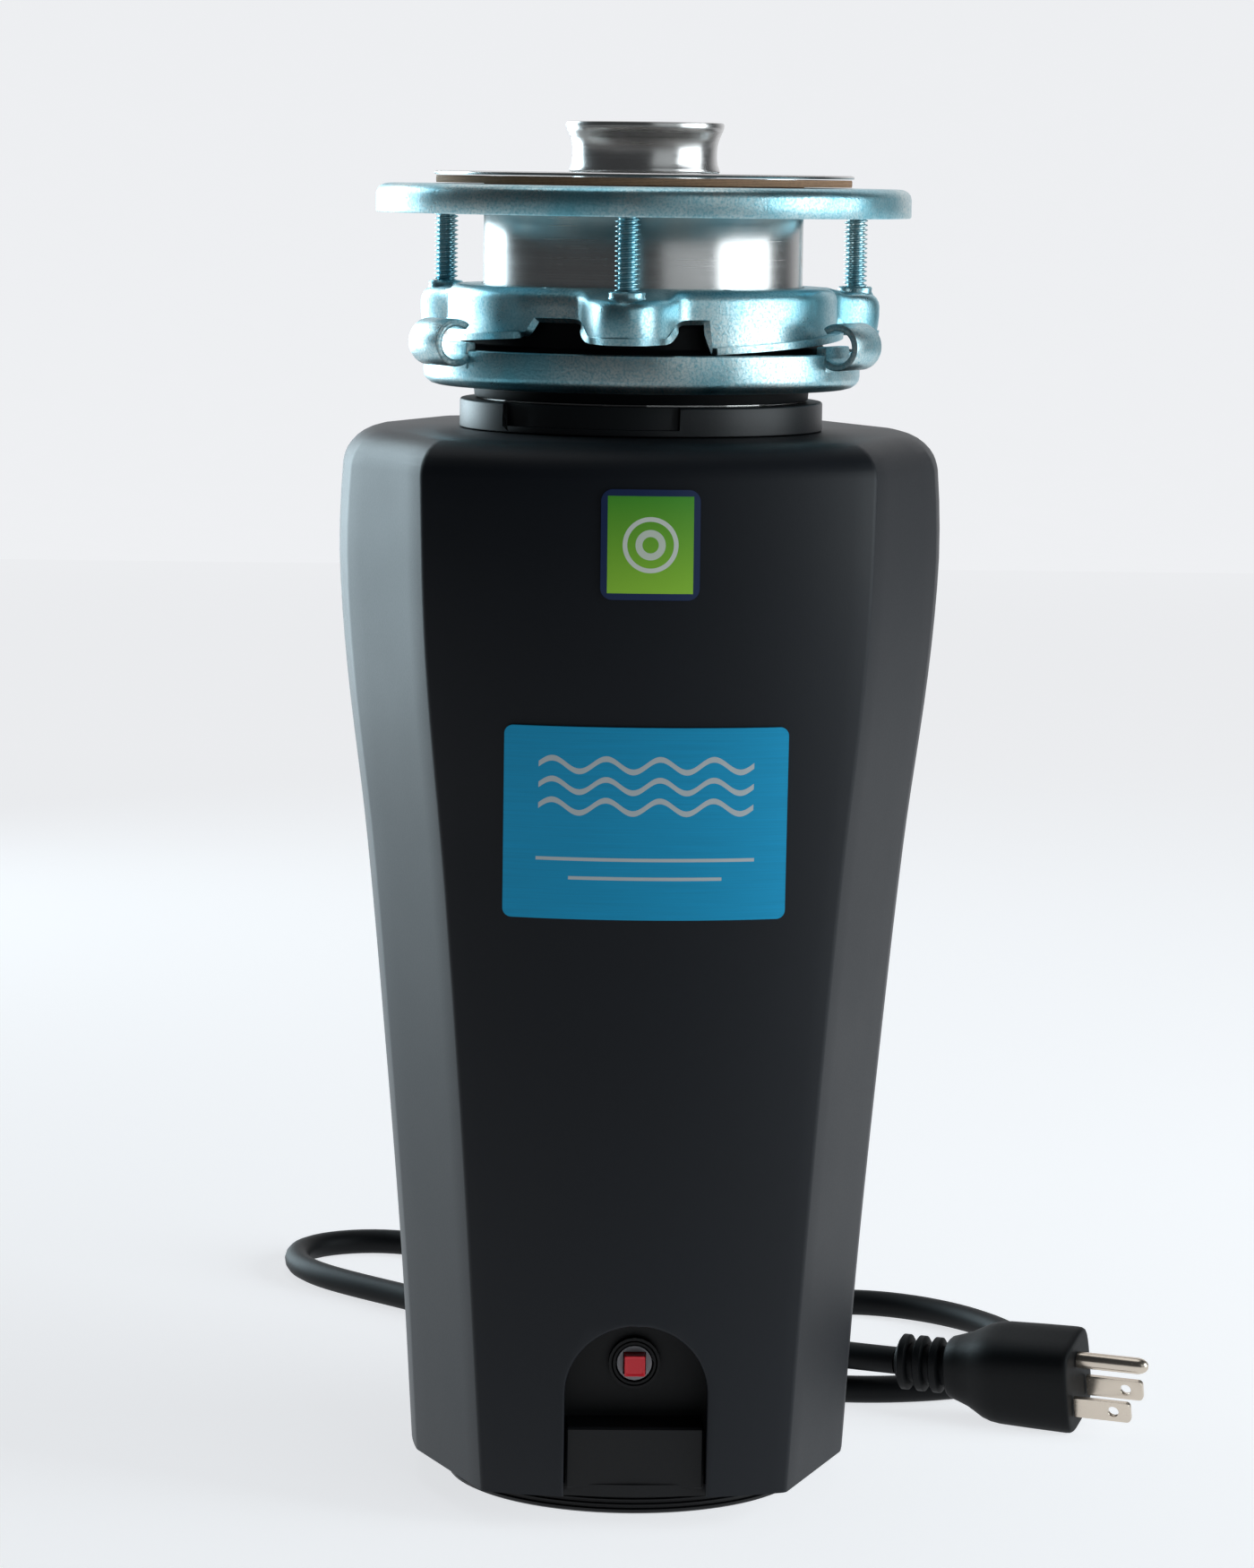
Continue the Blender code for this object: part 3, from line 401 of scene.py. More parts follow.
@dataclass(frozen=True)
class Layered:
    """Pressed fibre sheet: brown plies seen on edge, with loose fibres."""

    colour: Colour
    ply: float = 0.00034

    def build(self, name: str) -> bpy.types.Material:
        """Make the material.

        Args:
            name: the material's name.

        Returns:
            The material.
        """
        nodes = Nodes(name)
        place = nodes.place()
        _, _, z = nodes.split(place)
        fibre = nodes.noise(place, 900.0, 4.0)
        wander = nodes.noise(place, 90.0, 2.0)
        layer = (z / self.ply * math.tau + wander * 2.0).sine()
        tone = nodes.mix(layer * 0.5 + 0.5, tinted(self.colour, 0.45), tinted(self.colour, 1.35))
        return nodes.shade({
            "Base Color": nodes.mix(fibre * 0.7, tone, tinted(self.colour, 1.6)),
            "Roughness": 0.78 + fibre * 0.15,
            "Normal": nodes.bump(layer * 0.4 + fibre, 0.35, 0.0002)})


@dataclass(frozen=True)
class PrintedLabel:
    """The teal label film: three plain waves and two plain rules, with no lettering."""

    colour: Colour
    ink: Colour
    centre: float
    rules: Profile = ((-0.0095, 0.0285), (-0.0145, 0.0200))
    rule_half: float = 0.00045
    waves: Sequence[float] = (0.0155, 0.0100, 0.0045)
    wave_length: float = 0.014
    wave_rise: float = 0.0017
    wave_half: float = 0.00075
    wave_reach: float = 0.0280
    across: float = 40.0
    along: float = 2600.0

    def build(self, name: str) -> bpy.types.Material:
        """Make the material.

        Args:
            name: the material's name.

        Returns:
            The material.
        """
        nodes = Nodes(name)
        place = nodes.place()
        x, _, z = nodes.split(place)
        up = z - self.centre
        brushed = nodes.noise(nodes.vector(x * self.across, z * self.along), 1.0, 3.0)
        marks = self.wave(x, up, self.waves[0])
        for height in self.waves[1:]:
            marks = marks + self.wave(x, up, height)
        for height, reach in self.rules:
            marks = marks + (abs(up - height) < self.rule_half) * (abs(x) < reach)
        tone = nodes.mix(brushed, tinted(self.colour, 0.85), tinted(self.colour, 1.2))
        return nodes.shade({
            "Base Color": nodes.mix(marks, tone, self.ink),
            "Metallic": 0.35,
            "Roughness": 0.36 + brushed * 0.10,
            "Normal": nodes.bump(brushed + marks * 0.5, 0.05, 0.0001)})

    def wave(self, x: Wire, up: Wire, height: float) -> Wire:
        """A plain wave across the label."""
        swing = (x * (math.tau / self.wave_length)).sine() * self.wave_rise
        return (abs(up - height - swing) < self.wave_half) * (abs(x) < self.wave_reach)


@dataclass(frozen=True)
class PrintedBadge:
    """The green badge: a dark blue edge, a green fade and a pale ring, with no lettering."""

    edge: Colour
    light: Colour
    deep: Colour
    half_width: float
    half_height: float
    centre: float
    border: float = 0.0017
    pale: Colour = (0.80, 0.86, 0.78)
    circle: tuple[float, float] = (0.0066, 0.0006)
    spot: tuple[float, float] = (0.0030, 0.0009)

    def build(self, name: str) -> bpy.types.Material:
        """Make the material; each ring has a radius and half a width.

        Args:
            name: the material's name.

        Returns:
            The material.
        """
        nodes = Nodes(name)
        place = nodes.place()
        x, _, z = nodes.split(place)
        up = z - self.centre
        inside = (abs(x) < self.half_width - self.border) * (abs(up) < self.half_height - self.border)
        fade = up / (self.half_height * 2.0) + 0.5
        green = nodes.mix(fade, self.light, self.deep)
        reach = (x * x + up * up) ** 0.5
        outer = abs(reach - self.circle[0]) < self.circle[1]
        inner = (abs(reach - self.spot[0]) < self.spot[1]) * 0.9
        tone = nodes.mix(outer + inner, green, self.pale)
        haze = nodes.noise(place, 300.0, 2.0)
        return nodes.shade({
            "Base Color": nodes.mix(inside, self.edge, tone),
            "Roughness": 0.26 + haze * 0.10,
            "Normal": nodes.bump(haze + inside * 0.3, 0.05, 0.0001)})


FINISHES = {
    Slot.CASING: Moulded((0.0018, 0.0040, 0.0078), 0.48, 2100.0, 0.08, 0.32),
    Slot.COLLAR: Moulded((0.010, 0.012, 0.014), 0.40, 1500.0, 0.10, 0.35),
    Slot.PLASTIC: Moulded((0.0030, 0.0035, 0.0045), 0.48, 1500.0, 0.10, 0.30),
    Slot.RUBBER: Moulded((0.0018, 0.0026, 0.0034), 0.55, 900.0, 0.06, 0.16),
    Slot.ZINC: Plated((0.62, 0.73, 0.73), (0.17, 0.50, 0.61), 0.34),
    Slot.STAINLESS: Drawn((0.62, 0.61, 0.60), 0.24),
    Slot.FIBRE: Layered((0.40, 0.235, 0.140)),
    Slot.CAST: Rough((0.45, 0.46, 0.47), 0.50, 1.0),
    Slot.STEEL: Drawn((0.50, 0.50, 0.52), 0.33, 1800.0, 0.10),
    Slot.COPPER: Rough((0.70, 0.30, 0.15), 0.36, 1.0, 1400.0, 0.5),
    Slot.CARBON: Rough((0.045, 0.045, 0.046), 0.62, 0.0, 1500.0, 0.2),
    Slot.MAGNET: Rough((0.085, 0.085, 0.09), 0.58, 0.0, 1100.0, 0.25),
    Slot.GREY: Moulded((0.34, 0.35, 0.37), 0.48, 1400.0, 0.14),
    Slot.RED: Moulded((0.85, 0.012, 0.030), 0.28, 900.0, 0.05),
    Slot.LABEL: PrintedLabel((0.002, 0.340, 0.620), (0.55, 0.62, 0.64), 0.1925),
    Slot.BADGE: PrintedBadge((0.010, 0.028, 0.095), (0.36, 0.72, 0.05), (0.06, 0.36, 0.03),
                             0.0128, 0.0142, 0.2655),
    Slot.NICKEL: Drawn((0.66, 0.58, 0.49), 0.24, 1600.0, 0.05),
}
MATERIALS: dict[Slot, bpy.types.Material] = {}


def material(slot: Slot) -> bpy.types.Material:
    """The finish of a slot, made once.

    Args:
        slot: a material slot.

    Returns:
        The material.
    """
    if slot not in MATERIALS:
        MATERIALS[slot] = FINISHES[slot].build(f"finish_{slot.value}")
    return MATERIALS[slot]


def install(piece: bpy.types.Object, body: str, slot: Slot, *nodes: str) -> bpy.types.Object:
    """Dress a finished piece and put it on its body.

    Args:
        piece: the finished mesh or curve.
        body: the body that it rides on.
        slot: the material slot of its finish.
        nodes: the nodes that it stands for.

    Returns:
        The piece.
    """
    piece.data.materials.clear()
    piece.data.materials.append(material(slot))
    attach(piece, body)
    if nodes:
        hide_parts(*nodes)
    log.info("%s rides on %s and stands for %s", piece.name, body, ", ".join(nodes) or "itself")
    return piece


# ------------------------------------------------------------------ modelling by operators
class Bench:
    """Modelling steps made with Blender's own operators."""

    @staticmethod
    def clear() -> None:
        """Leave edit mode with nothing selected."""
        if bpy.context.object and bpy.context.object.mode != "OBJECT":
            bpy.ops.object.mode_set(mode="OBJECT")
        bpy.ops.object.select_all(action="DESELECT")

    @staticmethod
    def edit(obj: bpy.types.Object, mode: str = "VERT") -> bmesh.types.BMesh:
        """Open a piece in edit mode with nothing selected.

        Args:
            obj: the piece.
            mode: "VERT", "EDGE" or "FACE".

        Returns:
            Its edit mesh.
        """
        Bench.pick(obj)
        bpy.ops.object.mode_set(mode="EDIT")
        bpy.ops.mesh.select_mode(type=mode)
        bpy.ops.mesh.select_all(action="DESELECT")
        return bmesh.from_edit_mesh(obj.data)

    @staticmethod
    def pick(*objs: bpy.types.Object) -> None:
        """Select these pieces alone, the first one active.

        Args:
            *objs: the pieces.
        """
        Bench.clear()
        for obj in objs:
            obj.select_set(True)
        bpy.context.view_layer.objects.active = objs[0]

    @staticmethod
    def named(name: str, size: Point = (1.0, 1.0, 1.0)) -> bpy.types.Object:
        """Name the new primitive, with its size and place moved into its mesh.

        Args:
            name: the piece's name.
            size: its size along each axis.

        Returns:
            The piece.
        """
        obj = bpy.context.object
        obj.scale = size
        bpy.ops.object.transform_apply(location=True, rotation=True, scale=True)
        obj.name = obj.data.name = name
        return obj

    @staticmethod
    def dot(name: str, at: Point) -> bpy.types.Object:
        """Start a piece as one selected point, in edit mode.

        Args:
            name: the piece's name.
            at: the point.

        Returns:
            The piece.
        """
        Bench.clear()
        bpy.ops.mesh.primitive_plane_add(size=0.0001, location=at)
        obj = Bench.named(name)
        bpy.ops.object.mode_set(mode="EDIT")
        bpy.ops.mesh.select_mode(type="VERT")
        bpy.ops.mesh.select_all(action="SELECT")
        bpy.ops.mesh.merge(type="CENTER")
        return obj

    @staticmethod
    def drag(*steps: Point) -> None:
        """Extrude what is selected by each step in turn."""
        for step in steps:
            bpy.ops.mesh.extrude_region_move(TRANSFORM_OT_translate={"value": step})

    @staticmethod
    def choose(obj: bpy.types.Object, mode: str, rule: Callable[[object], bool]) -> None:
        """Open a piece in edit mode with the edges or faces that meet a rule selected.

        Args:
            obj: the piece.
            mode: "EDGE" or "FACE".
            rule: says whether an edge or face is selected.
        """
        mesh = Bench.edit(obj, mode)
        for part in mesh.faces if mode == "FACE" else mesh.edges:
            part.select_set(rule(part))
        bmesh.update_edit_mesh(obj.data)

    @staticmethod
    def close() -> None:
        """Merge doubled points, face everything outwards and leave edit mode."""
        bpy.ops.mesh.select_all(action="SELECT")
        bpy.ops.mesh.remove_doubles(threshold=0.000002)
        bpy.ops.mesh.normals_make_consistent(inside=False)
        bpy.ops.object.mode_set(mode="OBJECT")

    @staticmethod
    def apply(obj: bpy.types.Object, kind: str, settings: Mapping[str, object]) -> bpy.types.Object:
        """Add a modifier and apply it.

        Args:
            obj: the piece.
            kind: the modifier's type.
            settings: its properties.

        Returns:
            The piece.
        """
        Bench.pick(obj)
        step = obj.modifiers.new(kind.lower(), kind)
        for key, value in settings.items():
            setattr(step, key, value)
        bpy.ops.object.modifier_apply(modifier=step.name)
        return obj

    @staticmethod
    def soften(obj: bpy.types.Object, width: float, segments: int = 2,
               angle: float = 30.0) -> bpy.types.Object:
        """Round the edges that are sharper than an angle, and shade the piece.

        Args:
            obj: the piece.
            width: the bevel's width.
            segments: the bevel's segments.
            angle: degrees over which an edge counts as sharp.

        Returns:
            The piece.
        """
        if width:
            Bench.apply(obj, "BEVEL", {"width": width, "segments": segments, "limit_method": "ANGLE",
                                       "angle_limit": math.radians(angle), "use_clamp_overlap": True})
        Bench.pick(obj)
        bpy.ops.object.shade_smooth_by_angle(angle=math.radians(40.0))
        return obj

    @staticmethod
    def cut(obj: bpy.types.Object, tool: bpy.types.Object, operation: str = "DIFFERENCE") -> bpy.types.Object:
        """Cut a piece with a tool, or join the tool to it, and discard the tool.

        Args:
            obj: the piece.
            tool: what cuts it.
            operation: "DIFFERENCE" to cut, "UNION" to join.

        Returns:
            The piece.
        """
        Bench.apply(obj, "BOOLEAN", {"operation": operation, "solver": "EXACT", "object": tool})
        bpy.data.objects.remove(tool, do_unlink=True)
        return obj

    @staticmethod
    def join(first: bpy.types.Object, *others: bpy.types.Object) -> bpy.types.Object:
        """Make several pieces one.

        Args:
            first: the piece that takes in the others.
            *others: the others.

        Returns:
            The piece.
        """
        Bench.pick(first, *others)
        bpy.ops.object.join()
        return first

    @staticmethod
    def copy(obj: bpy.types.Object, name: str, turn: Matrix) -> bpy.types.Object:
        """Copy a piece with its own mesh, moved by a matrix.

        Args:
            obj: the piece.
            name: the copy's name.
            turn: how the copy is moved.

        Returns:
            The copy.
        """
        made = obj.copy()
        made.data = obj.data.copy()
        made.name = made.data.name = name
        made.data.transform(turn)
        bpy.context.scene.collection.objects.link(made)
        return made

    @staticmethod
    def lathe(name: str, profile: Profile, steps: int = 96, axis: Axis = Axis.UP,
              at: Point = (0.0, 0.0, 0.0), bevel: float = 0.0, segments: int = 2) -> bpy.types.Object:
        """Turn a profile round an axis.

        Args:
            name: the piece's name.
            profile: (radius, along) points; closed on itself unless it starts on the axis.
            steps: how many steps make a turn.
            axis: the axis's direction.
            at: a point on the axis.
            bevel: the width of its rounded edges.
            segments: the bevel's segments.

        Returns:
            The piece.
        """
        points = [axis.point(radius, along, at) for radius, along in profile]
        if profile[0][0] > 0.0:
            points.append(points[0])
        obj = Bench.dot(name, points[0])
        Bench.drag(*(after - before for before, after in zip(points, points[1:])))
        bpy.ops.mesh.select_all(action="SELECT")
        bpy.ops.mesh.remove_doubles(threshold=0.000002)
        bpy.ops.mesh.select_all(action="SELECT")
        bpy.ops.mesh.spin(steps=steps, angle=math.tau, center=at, axis=axis.vector())
        Bench.close()
        return Bench.soften(obj, bevel, segments)

    @staticmethod
    def block(name: str, low: Point, high: Point, bevel: float = 0.0, segments: int = 2) -> bpy.types.Object:
        """A block between two corners, with its edges rounded.

        Args:
            name: the piece's name.
            low: its lowest corner.
            high: its highest corner.
            bevel: the width of its rounded edges.
            segments: the bevel's segments.

        Returns:
            The piece.
        """
        Bench.clear()
        bpy.ops.mesh.primitive_cube_add(size=1.0, location=(Vector(high) + Vector(low)) / 2)
        obj = Bench.named(name, tuple(Vector(high) - Vector(low)))
        return Bench.soften(obj, bevel, segments)

    @staticmethod
    def bar(name: str, start: Point, axis: Axis, radius: float, length: float,
            sides: int = 48) -> bpy.types.Object:
        """A round bar from a start point along an axis.

        Args:
            name: the piece's name.
            start: the middle of its first end.
            axis: its direction.
            radius: its radius.
            length: its length.
            sides: how many sides it has.

        Returns:
            The piece.
        """
        tilt = (0.0, 0.0, 0.0) if axis is Axis.UP else (math.radians(90.0), 0.0, 0.0)
        Bench.clear()
        bpy.ops.mesh.primitive_cylinder_add(vertices=sides, radius=radius, depth=length, rotation=tilt,
                                            location=Vector(start) + Vector(axis.vector()) * (length / 2))
        return Bench.named(name)

    @staticmethod
    def skin(name: str, rings: Sequence[Sequence[Point]], capped: bool) -> bpy.types.Object:
        """Extrude a ring of points through a row of rings.

        Args:
            name: the piece's name.
            rings: rings of the same number of points.
            capped: whether both ends are closed.

        Returns:
            The piece.
        """
        Bench.clear()
        bpy.ops.mesh.primitive_circle_add(vertices=len(rings[0]), radius=0.01,
                                          fill_type="NGON" if capped else "NOTHING")
        obj = Bench.named(name)
        edit = Bench.edit(obj)
        order = edit.verts.layers.int.new("order")
        for number, vert in enumerate(edit.verts):
            vert[order] = number
        bpy.ops.mesh.select_all(action="SELECT")
        Bench.settle(obj, rings[0])
        for ring in rings[1:]:
            bpy.ops.mesh.extrude_region_move()
            Bench.settle(obj, ring)
        Bench.close()
        return obj

    @staticmethod
    def settle(obj: bpy.types.Object, ring: Sequence[Point]) -> None:
        """Move the selected points to their places in a ring.

        Args:
            obj: the piece.
            ring: where its points go, in order.
        """
        edit = bmesh.from_edit_mesh(obj.data)
        order = edit.verts.layers.int["order"]
        for vert in edit.verts:
            if vert.select:
                vert.co = ring[vert[order]]
        bmesh.update_edit_mesh(obj.data)


def around(degrees: float, radius: float, height: float = 0.0) -> Vector:
    """A point at an angle from the front, counted towards +X."""
    angle = math.radians(degrees)
    return Vector((radius * math.sin(angle), -radius * math.cos(angle), height))


def across(edge: bmesh.types.BMEdge) -> bool:
    """Whether an edge runs front to back."""
    return abs(edge.verts[0].co.y - edge.verts[1].co.y) > 0.001


def turn_z(degrees: float) -> Matrix:
    """A turn about the motor axis."""
    return Matrix.Rotation(math.radians(degrees), 4, "Z")


def through(stations: Profile, height: float) -> float:
    """Read a smooth curve through (height, value) stations.

    Args:
        stations: the curve's points, in order.
        height: where to read it.

    Returns:
        The value there.
    """
    last = len(stations) - 1
    index = 0
    while index < last - 1 and height > stations[index + 1][0]:
        index += 1
    (z0, v0), (z1, v1) = stations[index], stations[index + 1]
    zb, vb = stations[max(index - 1, 0)]
    za, va = stations[min(index + 2, last)]
    slope0, slope1 = (v1 - vb) / (z1 - zb), (va - v0) / (za - z0)
    span = z1 - z0
    t = (height - z0) / span
    return ((2 * t**3 - 3 * t**2 + 1) * v0 + (t**3 - 2 * t**2 + t) * span * slope0
            + (3 * t**2 - 2 * t**3) * v1 + (t**3 - t**2) * span * slope1)


def smooth_route(route: Sequence[Point], count: int) -> list[Vector]:
    """A natural cubic curve through points, read at evenly spaced steps along its length.

    Args:
        route: the points that the curve goes through.
        count: how many points to return.

    Returns:
        The evenly spaced points.
    """
    points = [Vector(point) for point in route]
    spans = [math.sqrt((second - first).length) for first, second in zip(points, points[1:])]
    size = len(points)
    upper, rest, bends = [0.0] * size, [Vector()] * size, [Vector()] * size
    for i in range(1, size - 1):
        bend = 6 * ((points[i + 1] - points[i]) / spans[i] - (points[i] - points[i - 1]) / spans[i - 1])
        pivot = 2 * (spans[i - 1] + spans[i]) - spans[i - 1] * upper[i - 1]
        upper[i] = spans[i] / pivot
        rest[i] = (bend - spans[i - 1] * rest[i - 1]) / pivot
    for i in range(size - 2, 0, -1):
        bends[i] = rest[i] - upper[i] * bends[i + 1]
    fine = []
    for i, span in enumerate(spans):
        start = (points[i + 1] - points[i]) / span - span * (2 * bends[i] + bends[i + 1]) / 6
        for step in range(20):
            t = span * step / 20
            fine.append(points[i] + start * t + bends[i] * t * t / 2
                        + (bends[i + 1] - bends[i]) * t**3 / (6 * span))
    fine.append(points[-1])
    lengths = [0.0]
    for first, second in zip(fine, fine[1:]):
        lengths.append(lengths[-1] + (second - first).length)
    evenly, index = [], 0
    for number in range(count):
        target = lengths[-1] * number / (count - 1)
        while index < len(fine) - 2 and lengths[index + 1] < target:
            index += 1
        share = (target - lengths[index]) / (lengths[index + 1] - lengths[index])
        evenly.append(fine[index].lerp(fine[index + 1], min(share, 1.0)))
    return evenly


# ------------------------------------------------------------------ the studio
@dataclass(frozen=True)
class Softbox:
    """A rectangular soft light that faces a point."""

    name: str
    at: Point
    towards: Point
    width: float
    height: float
    watts: float
    colour: Colour

    def build(self) -> None:
        """Make the light, unseen by the camera."""
        data = bpy.data.lights.new(self.name, "AREA")
        data.shape, data.size, data.size_y = "RECTANGLE", self.width, self.height
        data.energy, data.color = self.watts, self.colour
        light = bpy.data.objects.new(self.name, data)
        light.location = self.at
        light.visible_camera = False
        light.rotation_euler = (Vector(self.towards) - Vector(self.at)).to_track_quat("-Z", "Y").to_euler()
        bpy.context.scene.collection.objects.link(light)


@dataclass
class Studio:
    """A pale sweep with a painted glow, soft lights and the camera."""

    camera_at: Point = (-0.0471, -1.3478, 0.361)
    heading: float = -1.9
    tilt: float = 7.1
    roll: float = 0.8
    lens: float = 113.14
    sweep_radius: float = 0.9
    sweep_back: float = 3.2
    sweep_front: float = -3.6
    sweep_rise: float = 2.4
    half_width: float = 3.6
    air: Colour = (0.90, 0.95, 1.0)
    air_strength: float = 0.06
    # painted glow of the sweep's paper: brightest near the object and far back, dim at the sides and in
    # front; the paper is pale near the object and nearly black far back
    near_glow: Colour = (0.70, 0.715, 0.735)
    far_glow: Colour = (0.82, 0.83, 0.85)
    edge_glow: Colour = (0.18, 0.185, 0.19)
    near_paper: Colour = (0.48, 0.49, 0.50)
    far_paper: tuple[Colour, Colour] = ((0.045, 0.046, 0.047), (0.055, 0.056, 0.057))
    lights: Sequence[Softbox] = (
        Softbox("left_softbox", (-0.82, 0.86, 0.33), (0.0, 0.0, 0.14), 0.70, 1.2, 22.0, (0.72, 0.91, 1.0)),
        Softbox("right_softbox", (1.12, -0.28, 0.45), (0.0, 0.0, 0.27), 0.95, 0.8, 9.0, (0.88, 0.96, 1.0)),
        Softbox("front_card", (0.85, -1.55, 0.75), (0.0, 0.0, 0.25), 1.1, 1.2, 2.0, (0.90, 0.97, 1.0)),
        Softbox("overhead", (-0.1, 0.20, 1.50), (0.0, 0.05, 0.0), 1.0, 0.8, 3.0, (0.96, 0.98, 1.0)))

    def build(self) -> None:
        """Make the camera, the sweep, the world and the lights."""
        self.add_camera()
        self.add_sweep()
        world = bpy.data.worlds.new("studio_air")
        bpy.context.scene.world = world
        world.use_nodes = True
        background = world.node_tree.nodes["Background"]
        background.inputs["Color"].default_value = (*self.air, 1.0)
        background.inputs["Strength"].default_value = self.air_strength
        bpy.context.scene.view_settings.view_transform = "Standard"
        for light in self.lights:
            light.build()

    def add_camera(self) -> None:
        """Make the camera, turned by its heading, tilt and roll."""
        data = bpy.data.cameras.new("camera")
        data.lens, data.sensor_width, data.clip_start = self.lens, 36.0, 0.05
        camera = bpy.data.objects.new("camera", data)
        bpy.context.scene.collection.objects.link(camera)
        pitch = Matrix.Rotation(math.radians(90.0 - self.tilt), 4, "X")
        turn = turn_z(self.heading) @ pitch @ turn_z(self.roll)
        camera.matrix_world = Matrix.Translation(self.camera_at) @ turn
        bpy.context.scene.camera = camera

    def add_sweep(self) -> None:
        """Make the floor and the backdrop as one curved sheet."""
        Bench.clear()
        depth = self.sweep_back - self.sweep_front
        bpy.ops.mesh.primitive_plane_add(size=1.0, location=(0.0, self.sweep_back - depth / 2, 0.0))
        sweep = Bench.named("studio_sweep", (2 * self.half_width, depth, 1.0))
        back = self.sweep_back - 0.01
        Bench.choose(sweep, "EDGE", lambda edge: all(vert.co.y > back for vert in edge.verts))
        bpy.ops.mesh.spin(steps=32, angle=math.radians(90.0), axis=(1.0, 0.0, 0.0),
                          center=(0.0, self.sweep_back, self.sweep_radius))
        Bench.drag((0.0, 0.0, self.sweep_rise))
        bpy.ops.object.mode_set(mode="OBJECT")
        bpy.ops.object.shade_smooth()
        sweep.data.materials.append(self.paper())

    def paper(self) -> bpy.types.Material:
        """The sweep's paper with a painted glow: soft round the object and widening to the back, dim at the
        sides and in front.

        Returns:
            The material.
        """
        nodes = Nodes("studio_paper_painted_glow")
        place = nodes.place()
        fibre = nodes.noise(place, 40.0, 3.0)
        x, y, _ = nodes.split(place)
        # Painted glow: the paper glows brightest round the object and far back, and drops to a dim glow at
        # the sides and in front. Near the object the paper is pale, so the lamps' shadows show on it. Far
        # back it is nearly black, and the glow alone sets its brightness.
        glow_pool = ((y + 0.60) / 0.5).clamped() * ((0.75 - abs(x) / (y + 1.9)) / 0.5).clamped()
        nearness = ((1.7 - y) / 1.3).clamped()
        glow = nodes.mix(glow_pool, self.edge_glow, nodes.mix(nearness, self.far_glow, self.near_glow))
        base = nodes.mix(nearness, nodes.mix(fibre, *self.far_paper), self.near_paper)
        return nodes.shade({"Base Color": base, "Roughness": 0.5 + fibre * 0.1, "Emission Color": glow,
                            "Emission Strength": 1.0, "Specular IOR Level": 0.0})


